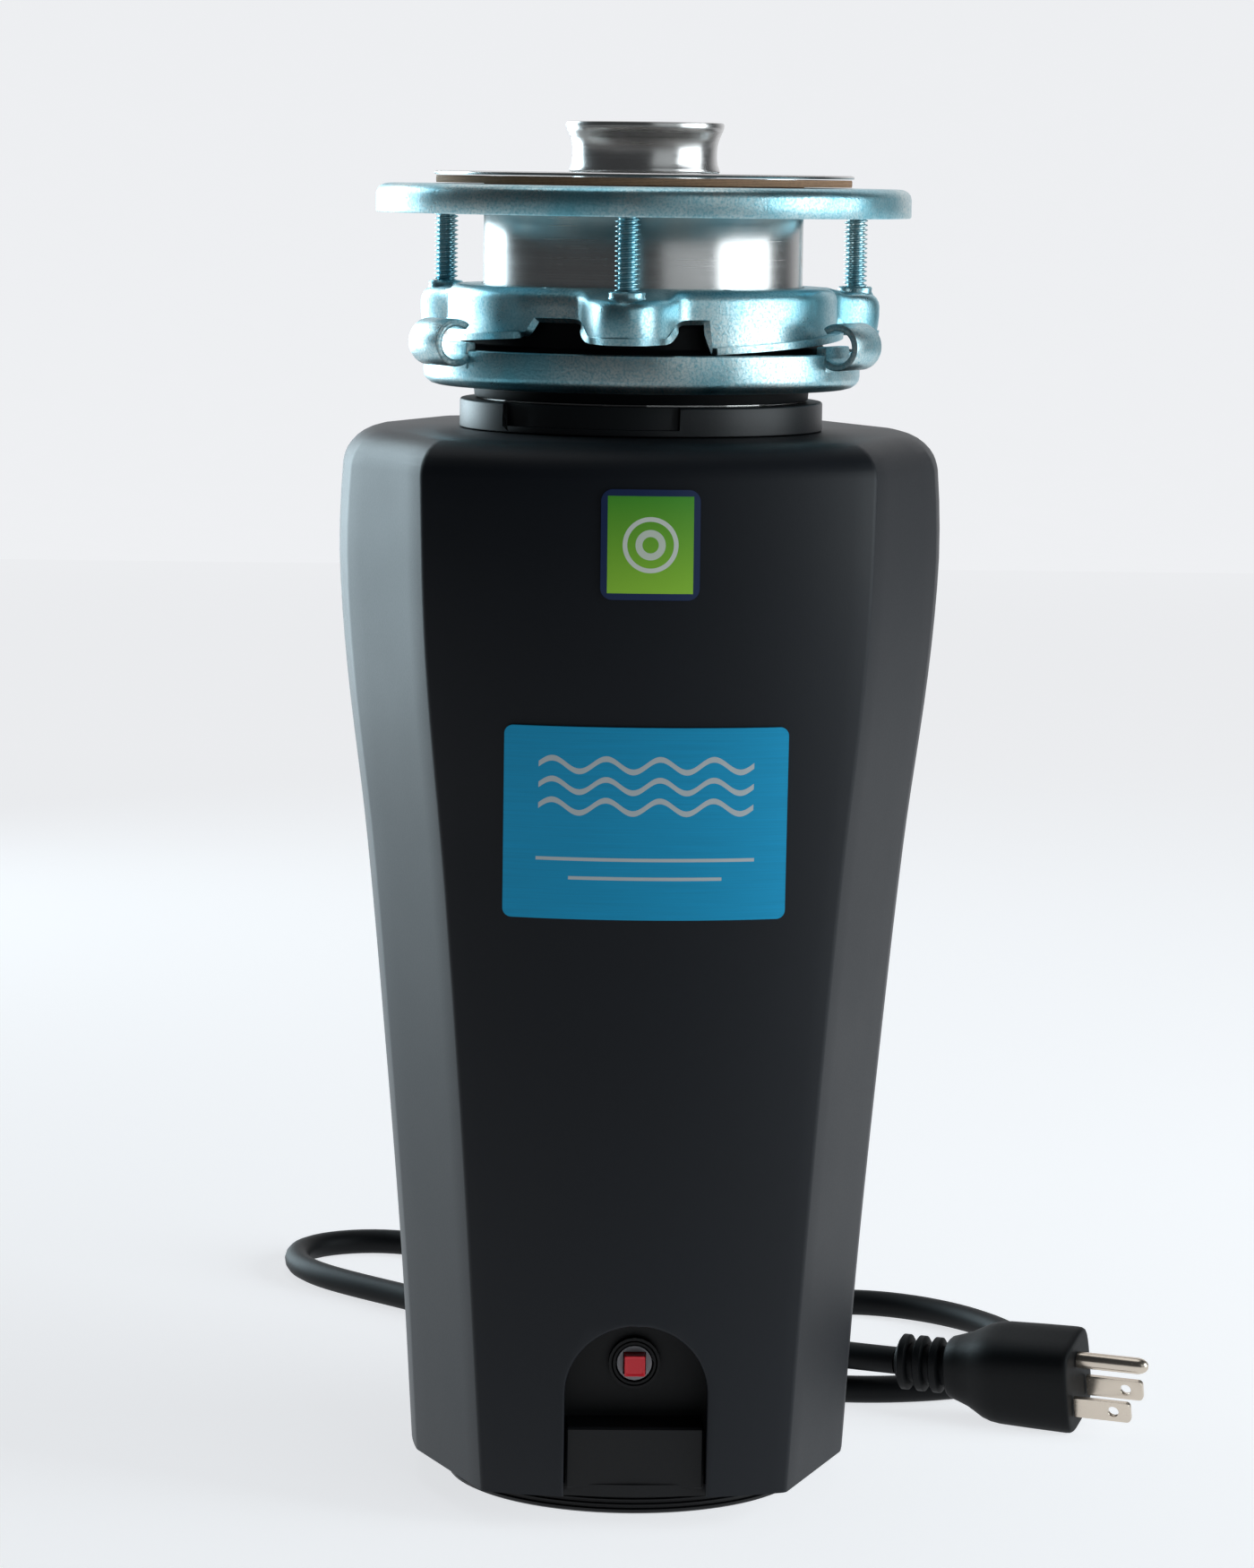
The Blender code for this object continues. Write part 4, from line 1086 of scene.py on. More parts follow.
# ------------------------------------------------------------------ the lead
@dataclass
class Lead:
    """The lead on the floor behind the casing, its strain relief, and its grounded plug."""

    radius: float = 0.004
    length: float = 0.9
    gland: Point = (0.010, 0.0, 0.038)
    gland_end: float = 0.103
    plug_at: Point = (0.0820, 0.0640, 0.0152)
    plug_turn: float = -24.0
    plug_roll: float = 17.0
    plug_length: float = 0.055
    face_gap: float = 0.0003
    points: int = 240
    route: Sequence[Point] = (
        (0.010, 0.1039, 0.0380), (0.011, 0.120, 0.0354), (0.017, 0.139, 0.0230), (0.030, 0.160, 0.0105),
        (0.050, 0.177, 0.0052), (0.077, 0.186, 0.0043), (0.104, 0.173, 0.0043), (0.122, 0.146, 0.0043),
        (0.126, 0.115, 0.0043), (0.114, 0.088, 0.0043), (0.090, 0.075, 0.0043), (0.062, 0.074, 0.0043),
        (0.034, 0.086, 0.0043), (0.008, 0.109, 0.0043), (-0.016, 0.134, 0.0043), (-0.040, 0.162, 0.0043),
        (-0.063, 0.188, 0.0043), (-0.084, 0.210, 0.0043), (-0.099, 0.234, 0.0043), (-0.097, 0.260, 0.0043),
        (-0.075, 0.271, 0.0043), (-0.048, 0.258, 0.0043), (-0.025, 0.237, 0.0043), (0.004, 0.218, 0.0055),
        (0.034, 0.201, 0.0115), (0.056, 0.178, 0.0140), (0.064, 0.148, 0.0105), (0.055, 0.119, 0.0095),
        (0.047, 0.098, 0.0126), (0.057, 0.079, 0.0146), (0.0814, 0.0643, 0.0152))

    def build(self) -> None:
        cord = self.build_cord()
        plug = self.build_plug()
        prongs = self.build_prongs()
        self.build_gland()

    def place(self) -> Matrix:
        """The plug's own frame: X along it from the lead to its face."""
        return (Matrix.Translation(self.plug_at) @ turn_z(self.plug_turn)
                @ Matrix.Rotation(math.radians(self.plug_roll), 4, "X"))

    def build_cord(self) -> bpy.types.Object:
        """Make the lead as one open curve.

        Returns:
            The lead.
        """
        curve = bpy.data.curves.new("lead", "CURVE")
        curve.dimensions = "3D"
        curve.bevel_depth, curve.bevel_resolution, curve.use_fill_caps = self.radius, 5, True
        spline = curve.splines.new("POLY")
        spline.points.add(self.points - 1)
        for point, place in zip(spline.points, smooth_route(self.route, self.points)):
            point.co = (*place, 1.0)
        spline.use_smooth = True
        cord = bpy.data.objects.new("lead", curve)
        bpy.context.scene.collection.objects.link(cord)
        return install(cord, "housing", Slot.RUBBER, "power_cord")

    def build_gland(self) -> None:
        """Make the tapered strain relief, with its flexing slots and snap collar."""
        end = self.gland_end
        profile = [(0.0, end), (0.0044, end), (0.0048, end - 0.0005)]
        for number in range(6):
            near = end - 0.0030 - number * 0.0042
            radius = 0.0049 + number * 0.0003
            profile += [(radius, near), (radius - 0.0011, near - 0.0002), (radius - 0.0011, near - 0.0014),
                        (radius + 0.0001, near - 0.0016)]
        profile += [(0.0068, 0.0745), (0.0090, 0.0740), (0.0090, 0.0714), (0.0070, 0.0710), (0.0070, 0.0660),
                    (0.0095, 0.0655), (0.0095, 0.0620), (0.0, 0.0620)]
        gland = Bench.lathe("strain_relief", profile, 64, Axis.BACK, self.gland, 0.0002)
        install(gland, "housing", Slot.RUBBER, "cord_gland")

    def section(self, along: float, half: float, up: float, square: float, sides: int = 48) -> list[Point]:
        """A rounded cross-section of the plug.

        Args:
            along: its place along the plug.
            half: its half width.
            up: its half height.
            square: 2 for an ellipse, more for squarer corners.
            sides: how many points it has.

        Returns:
            Its points.
        """
        points = []
        for number in range(sides):
            angle = math.tau * number / sides
            reach = (abs(math.cos(angle))**square + abs(math.sin(angle))**square)**(-1 / square)
            points.append((along, half * reach * math.cos(angle), up * reach * math.sin(angle)))
        return points

    def build_plug(self) -> bpy.types.Object:
        """Make the moulded plug with its three flexing ribs.

        Returns:
            The plug.
        """
        rings = [self.section(0.0, 0.0046, 0.0052, 2.0), self.section(0.0004, 0.0050, 0.0057, 2.0)]
        for rib in range(3):
            start = 0.0010 + rib * 0.0049
            for along, half, up in (
                    (0.0, 0.0050, 0.0058), (0.0001, 0.0062, 0.0076), (0.0006, 0.0068, 0.0083),
                    (0.0024, 0.0068, 0.0083), (0.0029, 0.0062, 0.0076), (0.0030, 0.0050, 0.0058)):
                rings.append(self.section(start + along, half, up, 2.2))
        for along, half, up, square in (
                (0.0153, 0.0055, 0.0062, 2.2), (0.0158, 0.0066, 0.0082, 2.4), (0.0166, 0.0071, 0.0089, 2.6),
                (0.0195, 0.0077, 0.0097, 2.8), (0.0225, 0.0085, 0.0106, 3.0), (0.0250, 0.0096, 0.0117, 3.2),
                (0.0275, 0.0107, 0.0127, 3.5), (0.0300, 0.0115, 0.0132, 3.7), (0.0330, 0.0120, 0.0134, 3.8),
                (0.0430, 0.0121, 0.0136, 4.0), (0.0530, 0.0122, 0.0138, 4.0), (0.0542, 0.0121, 0.0137, 4.0),
                (0.0548, 0.0118, 0.0134, 4.0), (self.plug_length, 0.0114, 0.0130, 4.0),
                (self.plug_length, 0.0100, 0.0116, 4.0)):
            rings.append(self.section(along, half, up, square))
        plug = Bench.skin("plug", rings, True)
        plug.data.transform(self.place())
        Bench.soften(plug, 0.0)
        return install(plug, "housing", Slot.RUBBER, "plug_body")

    def build_prongs(self) -> list[bpy.types.Object]:
        """Make the round ground pin and the two flat blades.

        Returns:
            The pin and both blades.
        """
        face = self.plug_length + self.face_gap
        pin = Bench.lathe("pin", ((0.0, 0.0210), (0.0008, 0.0209), (0.0015, 0.0204), (0.0021, 0.0194),
                                  (0.0024, 0.0180), (0.0024, 0.0), (0.0, 0.0)), 40)
        pin.data.transform(self.place() @ Matrix.Translation((face, 0, 0.0069))
                           @ Matrix.Rotation(math.radians(90.0), 4, "Y"))
        prongs = [install(pin, "housing", Slot.NICKEL, "ground_pin")]
        blade = Bench.block("blade", (0.0, -0.00075, -0.003175), (0.0170, 0.00075, 0.003175))
        Bench.choose(blade, "EDGE",
                     lambda edge: across(edge) and all(vert.co.x > 0.01 for vert in edge.verts))
        bpy.ops.mesh.bevel(offset=0.0013, segments=3, affect="EDGES")
        bpy.ops.object.mode_set(mode="OBJECT")
        Bench.cut(blade, Bench.bar("blade_hole", (0.0118, -0.003, 0.0), Axis.BACK, 0.0016, 0.006, 32))
        Bench.soften(blade, 0.00018, 2)
        for number, side in enumerate((1, -1), 1):
            spot = self.place() @ Matrix.Translation((face, side * 0.00635, -0.0050))
            prong = Bench.copy(blade, f"blade_piece_{number}", spot)
            prongs.append(install(prong, "housing", Slot.NICKEL, f"blade_{number}"))
        bpy.data.objects.remove(blade, do_unlink=True)
        return prongs


# ------------------------------------------------------------------ the casing
@dataclass
class Casing:
    """The moulded casing with its arch and rear holes, and the label and badge on its front."""

    bottom: float = 0.010
    shoulder: float = 0.2815
    top: float = 0.291
    wall: float = 0.003
    shoulder_inset: float = 0.0100
    crown_radius: float = 0.125
    neck_radius: float = 0.0440
    side: Profile = ((0.010, 0.0602), (0.060, 0.0633), (0.120, 0.0683), (0.180, 0.0740), (0.225, 0.0796),
                     (0.255, 0.0819), (0.275, 0.0816), (0.291, 0.0802))
    panel: Profile = ((0.010, 0.0408), (0.100, 0.0464), (0.172, 0.0519), (0.236, 0.0577), (0.291, 0.0596))
    depth_extra: tuple[float, float] = (0.0097, 0.0020)
    side_flat: tuple[float, float] = (0.020, 0.026)
    arch_half_width: float = 0.019
    arch_top: float = 0.057
    rear_holes: Sequence[tuple[float, float, float, int]] = (
        (0.0, 0.183, 0.0205, 72), (0.0, 0.245, 0.0125, 64), (0.010, 0.038, 0.0076, 48))
    hole_start: float = 0.055
    hole_depth: float = 0.06
    film: float = 0.0004
    film_columns: int = 24
    film_rows: int = 12

    def build(self) -> None:
        """Make the casing and what is stuck on it."""
        self.build_shell()
        self.build_plate("label_film", "front_label", Slot.LABEL, 0.1925, 0.0370, 0.0255, 0.0023)
        self.build_plate("badge_film", "badge_sticker", Slot.BADGE, 0.2655, 0.0128, 0.0142, 0.0030)

    def share(self, height: float) -> float:
        """How far up the casing a height is, from 0 to 1."""
        return (height - self.bottom) / (self.top - self.bottom)

    def front_y(self, x: float, height: float) -> float:
        """The front surface's Y at a place across the bowed panel.

        Args:
            x: distance from the middle.
            height: height above the floor.

        Returns:
            The Y there.
        """
        extra = self.depth_extra[0] + self.share(height) * (self.depth_extra[1] - self.depth_extra[0])
        bow = self.crown_radius - math.sqrt(self.crown_radius**2 - x * x)
        return bow - through(self.side, height) - extra

    def section(self, height: float, inset: float = 0.0) -> list[Point]:
        """The casing's outline at a height.

        Args:
            height: where the section is taken.
            inset: how far it is drawn in.

        Returns:
            Its points, from the front and counter-clockwise.
        """
        panel, side = through(self.panel, height), through(self.side, height)
        flat = self.side_flat[0] + self.share(height) * (self.side_flat[1] - self.side_flat[0])
        crown = self.crown_radius
        quarter = [(panel * step / 10, self.front_y(panel * step / 10, height)) for step in range(11)]
        edge, corner = quarter[-1], (side - (crown - math.sqrt(crown**2 - flat * flat)), -flat)
        quarter += [(edge[0] + (corner[0] - edge[0]) * step / 5, edge[1] + (corner[1] - edge[1]) * step / 5)
                    for step in range(1, 5)]
        for step in range(4, 0, -1):
            y = -flat * step / 4
            quarter.append((side - (crown - math.sqrt(crown**2 - y * y)), y))
        quarter.append((side, 0.0))
        right = quarter + [(x, -y) for x, y in reversed(quarter[:-1])]
        outline = right + [(-x, y) for x, y in reversed(right[1:-1])]
        shrink = 1.0 - inset / side
        return [(x * shrink, y * shrink, height) for x, y in outline]

    def build_shell(self) -> None:
        """Make the shell with a rounded shoulder, then cut the arch and the rear holes."""
        rise = self.top - self.shoulder
        levels = [self.bottom + (self.shoulder - self.bottom) * step / 34 for step in range(35)]
        rings = [self.section(z) for z in levels]
        for step in range(1, 9):
            angle = math.radians(90.0 * step / 8)
            rings.append(self.section(self.shoulder + rise * math.sin(angle),
                                      self.shoulder_inset * (1.0 - math.cos(angle))))
        crown = rings[-1]
        angles = [math.atan2(y, x) for x, y, _ in crown]
        for share in (0.33, 0.66, 1.0):
            rings.append([(x + (self.neck_radius * math.cos(a) - x) * share,
                           y + (self.neck_radius * math.sin(a) - y) * share, self.top)
                          for (x, y, _), a in zip(crown, angles)])
        shell = Bench.skin("casing", rings, False)
        Bench.apply(shell, "BEVEL", {"width": 0.0020, "segments": 3, "limit_method": "ANGLE",
                                     "angle_limit": math.radians(11.0), "use_clamp_overlap": True})
        Bench.apply(shell, "SOLIDIFY", {"thickness": self.wall, "offset": -1.0, "use_even_offset": True})
        Bench.cut(shell, self.arch_tool())
        Bench.choose(shell, "EDGE", self.on_arch)
        bpy.ops.mesh.bevel(offset=0.0007, segments=3, affect="EDGES")
        bpy.ops.object.mode_set(mode="OBJECT")
        for x, height, radius, sides in self.rear_holes:
            Bench.cut(shell, Bench.bar("rear_hole", (x, self.hole_start, height), Axis.BACK, radius,
                                       self.hole_depth, sides))
        Bench.soften(shell, 0.0)
        install(shell, "housing", Slot.CASING, "outer_shell")

    def on_arch(self, edge: bmesh.types.BMEdge) -> bool:
        """Whether an edge is a sharp one of the arch's outline, on the casing's front.

        Args:
            edge: an edge of the shell.

        Returns:
            True for an edge to round.
        """
        middle = (edge.verts[0].co + edge.verts[1].co) / 2
        inside = abs(middle.x) < self.arch_half_width + 0.001 and middle.z < self.arch_top + 0.001
        outer = middle.y < self.front_y(middle.x, max(middle.z, self.bottom)) + 0.0004
        sharp = edge.calc_face_angle(0.0) > math.radians(50.0)
        return inside and outer and sharp and self.arch_distance(middle) < 0.0006

    def arch_distance(self, point: Vector) -> float:
        """How far a point is from the arch's outline, seen from the front.

        Args:
            point: the point.

        Returns:
            The distance.
        """
        spring = self.arch_top - self.arch_half_width
        if point.z < spring:
            return abs(abs(point.x) - self.arch_half_width)
        return abs(math.hypot(point.x, point.z - spring) - self.arch_half_width)

    def arch_tool(self) -> bpy.types.Object:
        """The arch's cutter: a straight opening with a round head.

        Returns:
            The cutter.
        """
        spring, half = self.arch_top - self.arch_half_width, self.arch_half_width
        outline = [(-half, -0.02)]
        outline += [(-half * math.cos(math.pi * step / 40), spring + half * math.sin(math.pi * step / 40))
                    for step in range(41)]
        outline.append((half, -0.02))
        return Bench.skin("arch_tool", [[(x, y, z) for x, z in outline] for y in (-0.095, -0.055)], True)

    def build_plate(self, name: str, node: str, slot: Slot, centre: float, half_width: float,
                    half_height: float, corner: float) -> None:
        """Make a thin film with round corners that follows the bowed front.

        Args:
            name: the piece's name.
            node: the node that it stands for.
            slot: its finish.
            centre: the height of its middle.
            half_width: half its width.
            half_height: half its height.
            corner: the radius of its corners.
        """
        Bench.clear()
        bpy.ops.mesh.primitive_plane_add(size=2.0, location=(0.0, -0.10, centre),
                                         rotation=(math.radians(90.0), 0.0, 0.0))
        film = Bench.named(name, (half_width, half_height, 1.0))
        bpy.ops.object.mode_set(mode="EDIT")
        bpy.ops.mesh.select_mode(type="VERT")
        bpy.ops.mesh.select_all(action="SELECT")
        bpy.ops.mesh.bevel(offset=corner, segments=8, affect="VERTICES")
        columns, rows = self.film_columns, self.film_rows
        cuts = [((half_width * (2 * step / columns - 1), 0.0, 0.0), (1.0, 0.0, 0.0))
                for step in range(1, columns)]
        cuts += [((0.0, 0.0, centre + half_height * (2 * step / rows - 1)), (0.0, 0.0, 1.0))
                 for step in range(1, rows)]
        for spot, normal in cuts:
            bpy.ops.mesh.select_all(action="SELECT")
            bpy.ops.mesh.bisect(plane_co=spot, plane_no=normal)
        bpy.ops.object.mode_set(mode="OBJECT")
        for vert in film.data.vertices:
            vert.co.y = self.front_y(vert.co.x, vert.co.z) - 0.0006
        Bench.apply(film, "SOLIDIFY", {"thickness": self.film, "offset": -1.0})
        Bench.soften(film, 0.0)
        install(film, "housing", slot, node)


# ------------------------------------------------------------------ the foot and the reset switch
@dataclass
class Base:
    """The ridged foot and the reset switch."""

    reset_height: float = 0.043
    button_half: float = 0.0028

    def build(self) -> None:
        """Make the foot and the switch."""
        foot = [(0.0, 0.009), (0.0480, 0.009), (0.0500, 0.0078)]
        for ridge in range(4):
            z = 0.0066 - ridge * 0.0014
            foot += [(0.0500, z), (0.0492, z - 0.0003), (0.0492, z - 0.0007), (0.0500, z - 0.0010)]
        foot += [(0.0498, 0.0006), (0.0486, 0.0), (0.0, 0.0)]
        install(Bench.lathe("foot", foot, 96), "housing", Slot.PLASTIC, "base_foot")
        self.build_switch()

    def build_switch(self) -> None:
        """Make the switch's collar and the square button."""
        front = (0.0, -0.0523, self.reset_height)
        bezel = Bench.lathe("reset_collar", ((0.0070, 0.0), (0.0070, -0.0016), (0.0064, -0.0022),
                                             (0.0056, -0.0022), (0.0052, -0.0016), (0.0052, 0.0)),
                            64, Axis.BACK, front, 0.0002)
        install(bezel, "housing", Slot.PLASTIC)
        half = self.button_half
        button = Bench.block("reset_key", (-half, -0.0580, self.reset_height - half),
                             (half, -0.0500, self.reset_height + half))
        Bench.choose(button, "FACE", lambda face: face.normal.y < -0.9)
        bpy.ops.mesh.inset(thickness=0.0007)
        bpy.ops.transform.translate(value=(0.0, 0.0003, 0.0))
        bpy.ops.object.mode_set(mode="OBJECT")
        Bench.soften(button, 0.0003, 3)
        install(button, "button", Slot.RED, "reset_button")


# ------------------------------------------------------------------ the sink mount
@dataclass
class SinkFlange:
    """The stopper, the sink flange with its sleeve, and the fibre gasket."""

    flange_radius: float = 0.05715
    flange_height: float = 0.3593
    sleeve_radius: float = 0.0435
    groove_radius: float = 0.0429
    bore_radius: float = 0.0420
    sleeve_bottom: float = 0.312

    def build(self) -> None:
        """Make the stopper, the flange and the gasket."""
        cup = Bench.lathe("stopper", (
            (0.0, 0.3600), (0.0146, 0.3600), (0.0164, 0.3603), (0.0178, 0.3612), (0.0185, 0.3626),
            (0.0186, 0.3660), (0.0188, 0.3695), (0.0194, 0.3722), (0.0202, 0.3736), (0.0209, 0.3740),
            (0.0214, 0.3738), (0.0216, 0.3732), (0.0215, 0.3724), (0.0210, 0.3712), (0.0204, 0.3698),
            (0.0199, 0.3681), (0.0197, 0.3662), (0.0197, 0.3644), (0.0199, 0.3628), (0.0203, 0.3616),
            (0.0205, 0.3609), (0.0203, 0.3602), (0.0197, 0.3597), (0.0196, 0.3560), (0.0200, 0.3552),
            (0.0372, 0.3546), (0.0380, 0.3540), (0.0380, 0.3510), (0.0374, 0.3505), (0.0, 0.3505)), 144)
        install(cup, "stopper", Slot.STAINLESS, "stopper_cup")
        seal = Bench.lathe("stopper_lip", (
            (0.0413, 0.3528), (0.0413, 0.3512), (0.0407, 0.3508), (0.0383, 0.3508), (0.0383, 0.3532),
            (0.0407, 0.3532)), 96, bevel=0.0001)
        install(seal, "stopper", Slot.RUBBER, "stopper_seal")
        top, flat = 0.3603, self.flange_height
        rim = Bench.lathe("flange_rim", (
            (0.0552, top), (0.0564, 0.36025), (0.0570, 0.36000), (self.flange_radius, 0.35965),
            (0.0570, flat), (0.0441, flat), (0.0441, 0.35935), (0.0448, 0.3598), (0.0458, 0.3601)), 144)
        install(rim, "housing", Slot.STAINLESS, "sink_flange")
        wide, groove = self.sleeve_radius, self.groove_radius
        sleeve = Bench.lathe("sleeve", (
            (wide - 0.0003, 0.3590), (wide, 0.3585), (wide, 0.3281), (groove, 0.3278), (groove, 0.3254),
            (wide, 0.3251), (wide, 0.3124), (0.0432, self.sleeve_bottom), (0.0423, self.sleeve_bottom),
            (self.bore_radius, 0.3124), (self.bore_radius, 0.3575), (0.0426, 0.3590)), 144)
        install(sleeve, "housing", Slot.STAINLESS, "flange_sleeve")
        gasket = Bench.lathe("fibre_gasket", (
            (0.0564, 0.3590), (0.0565, 0.3586), (0.0565, 0.3575), (0.0564, 0.3571), (0.0446, 0.3571),
            (0.0445, 0.3574), (0.0445, 0.3587), (0.0446, 0.3590)), 144)
        install(gasket, "housing", Slot.FIBRE, "fiber_gasket")


@dataclass
class BackupRing:
    """The pressed backup ring and the three threaded mounting screws that push on it."""

    radius: float = 0.0727
    bottom: float = 0.349
    top: float = 0.3568
    ear_radius: float = 0.066
    ears: Sequence[float] = (-5.5, 114.5, 234.5)
    thread_radius: float = 0.0033
    core_radius: float = 0.0024
    screw_bottom: float = 0.3180
    screw_top: float = 0.3539
    pitch: float = 0.00127
    turns: int = 27
    flank_share: float = 0.38
    crest_share: float = 0.14

    def build(self) -> None:
        """Make the ring, and one screw with its two copies."""
        ring = Bench.lathe("clamp_ring", (
            (0.0690, self.top), (0.0704, 0.35665), (0.0716, 0.3561), (0.0724, 0.3552), (self.radius, 0.3540),
            (self.radius, 0.3494), (0.0724, self.bottom), (0.0712, self.bottom), (0.0708, 0.3494),
            (0.0708, 0.3530), (0.0702, 0.3540), (0.0690, 0.3545), (0.0450, 0.3545), (0.0445, 0.3550),
            (0.0445, 0.3563), (0.0450, self.top)), 160)
        install(Bench.soften(ring, 0.0), "backup", Slot.ZINC, "backup_ring")
        screw = self.build_screw()
        for number, angle in enumerate(self.ears, 1):
            spot = Matrix.Translation(around(angle, self.ear_radius)) @ turn_z(angle)
            made = Bench.copy(screw, f"screw_piece_{number}", spot)
            install(made, f"screw_{number}", Slot.ZINC, f"mounting_screw_{number}")
        bpy.data.objects.remove(screw, do_unlink=True)

    def build_screw(self) -> bpy.types.Object:
        """Make one mounting screw: a core with dog points, and a helical thread on it.

        Returns:
            The screw, on the motor axis.
        """
        low, high, radius, sunk = self.screw_bottom, self.screw_top, self.core_radius, 0.0002
        core = Bench.lathe("screw_core", (
            (0.0, high), (0.0018, high), (0.0022, high - 0.0004), (0.0024, high - 0.0012),
            (radius, high - 0.0016), (radius, low + 0.0010), (0.0020, low), (0.0, low)), 32)
        thread = Bench.dot("screw_thread", (radius - sunk, 0.0, low + 0.0006))
        flank, rise = self.thread_radius - radius + sunk, self.pitch * self.flank_share
        Bench.drag((flank, 0.0, rise), (0.0, 0.0, self.pitch * self.crest_share), (-flank, 0.0, rise))
        bpy.ops.object.mode_set(mode="OBJECT")
        Bench.apply(thread, "SCREW", {"axis": "Z", "angle": math.tau, "screw_offset": self.pitch,
                                      "iterations": self.turns, "steps": 28, "render_steps": 28})
        Bench.edit(thread)
        Bench.close()
        return Bench.soften(Bench.join(core, thread), 0.0)


@dataclass
class UpperRing:
    """The pressed upper mounting ring: a stepped shoulder, three lobes, ramps and windows."""

    top: float = 0.330
    shoulder: float = 0.0034
    bore: float = 0.0440
    radius: float = 0.0530
    ear_radius: float = 0.066
    lobe_centre: float = 0.0632
    lobe_radius: float = 0.0105
    ear_drop: float = 0.0022
    ears: Sequence[float] = (-5.5, 114.5, 234.5)
    wall: float = 0.0018
    pips: Sequence[float] = (-27.0, 30.0)
    window: float = 0.3222
    ramp_end: float = 0.3185
    ramp_start: float = 0.3150
    lobe_foot: float = 0.3178
    points: int = 720
    smoothing: int = 90

    def build(self) -> None:
        """Make the ring, its screw bosses, and its holes."""
        outline = self.outline()
        angles = [360.0 * number / self.points for number in range(self.points)]
        rings = [[around(a, self.bore, self.top) for a in angles],
                 [around(a, 0.0478, self.top) for a in angles],
                 [around(a, 0.0500, self.top - 0.0001) for a in angles]]
        for inset, drop in ((0.0026, 0.0001), (0.0017, 0.0005), (0.0009, 0.0012), (0.0003, 0.0022),
                            (0.0, 0.0034)):
            rings.append([around(a, r - inset, self.top - drop - self.ear_drop * self.lobe(r))
                          for a, r in zip(angles, outline)])
        for share in (0.4, 0.8, 1.0):
            rings.append([self.skirt(a, r, share) for a, r in zip(angles, outline)])
        rings.append([around(a, r + self.track(a), self.foot(a, r) - 0.0001)
                      for a, r in zip(angles, outline)])
        ring = Bench.skin("upper_ring", rings, False)
        Bench.apply(ring, "SOLIDIFY", {"thickness": self.wall, "offset": -1.0})
        for angle in self.ears:
            holes = [(angle, self.ear_radius, 0.310, 0.0034, 0.03, 32)]
            holes += [(angle + side, 0.0490, 0.322, 0.0017, 0.02, 28) for side in self.pips]
            for turn, reach, height, radius, depth, sides in holes:
                Bench.cut(ring, Bench.bar("hole", around(turn, reach, height), Axis.UP, radius, depth, sides))
        Bench.soften(ring, 0.0)
        bosses = []
        for angle in self.ears:
            at = tuple(around(angle, self.ear_radius))
            bosses.append(Bench.lathe("boss", (
                (0.0036, 0.3298), (0.0036, 0.3262), (0.0062, 0.3262), (0.0052, 0.3274), (0.0047, 0.3284),
                (0.0048, 0.3294), (0.0044, 0.3298)), 40, Axis.UP, at))
        Bench.join(ring, *bosses)
        bpy.ops.object.shade_smooth_by_angle(angle=math.radians(58.0))
        install(ring, "housing", Slot.ZINC, "upper_mounting_ring")

    def skirt(self, angle: float, reach: float, share: float) -> Vector:
        """A point on the skirt, a share of the way down from the shoulder to the lower edge.

        Args:
            angle: degrees from the front.
            reach: the ring's outside radius there.
            share: how far down, from 0 to 1.

        Returns:
            The point.
        """
        lobe = self.lobe(reach)
        shoulder = self.top - self.shoulder - self.ear_drop * lobe
        return around(angle, reach - 0.0006 * lobe * share**3,
                      shoulder + share * (self.foot(angle, reach) - shoulder))

    def lobe(self, reach: float) -> float:
        """How far out on a lobe a point is, from 0 to 1."""
        share = min(max((reach - self.radius) / 0.010, 0.0), 1.0)
        return share * share * (3.0 - 2.0 * share)

    def outline(self) -> list[float]:
        """The ring's outside radius at each angle, with filleted lobes.

        Returns:
            A radius for each angle.
        """
        raw = []
        for number in range(self.points):
            away = min(abs((360.0 * number / self.points - ear + 180.0) % 360.0 - 180.0) for ear in self.ears)
            off = math.radians(away)
            across = self.lobe_centre * math.sin(off)
            if across < self.lobe_radius and away < 90.0:
                reach = self.lobe_centre * math.cos(off) + math.sqrt(self.lobe_radius**2 - across**2)
            else:
                reach = self.lobe_radius / math.sin(off) if away < 14.0 else 0.0
            raw.append(max(reach, self.radius))
        smooth = raw
        for _ in range(self.smoothing):
            smooth = [(smooth[i - 1] + 2 * smooth[i] + smooth[(i + 1) % len(smooth)]) / 4
                      for i in range(len(smooth))]
        return smooth

    def after_ear(self, angle: float) -> float:
        """Degrees from the nearest ear behind this angle, from -32 to 88."""
        return min(((angle - ear + 32.0) % 360.0 for ear in self.ears)) - 32.0

    def foot(self, angle: float, reach: float) -> float:
        """The height of the skirt's lower edge.

        Args:
            angle: degrees from the front.
            reach: the ring's outside radius there.

        Returns:
            The height.
        """
        past = self.after_ear(angle)
        if past < -29.0:
            low = self.ramp_end + (self.window - self.ramp_end) * (past + 32.0) / 3.0
        elif past < 23.0:
            low = self.window
        elif past < 24.0:
            low = self.window + (self.ramp_start - self.window) * (past - 23.0)
        else:
            low = self.ramp_start + (self.ramp_end - self.ramp_start) * (past - 24.0) / 64.0
        return low + (self.lobe_foot - low) * self.lobe(reach)

    def track(self, angle: float) -> float:
        """How far the ramp flange stands out below the skirt."""
        past = self.after_ear(angle)
        return 0.0022 if 24.0 < past < 86.0 else 0.0001


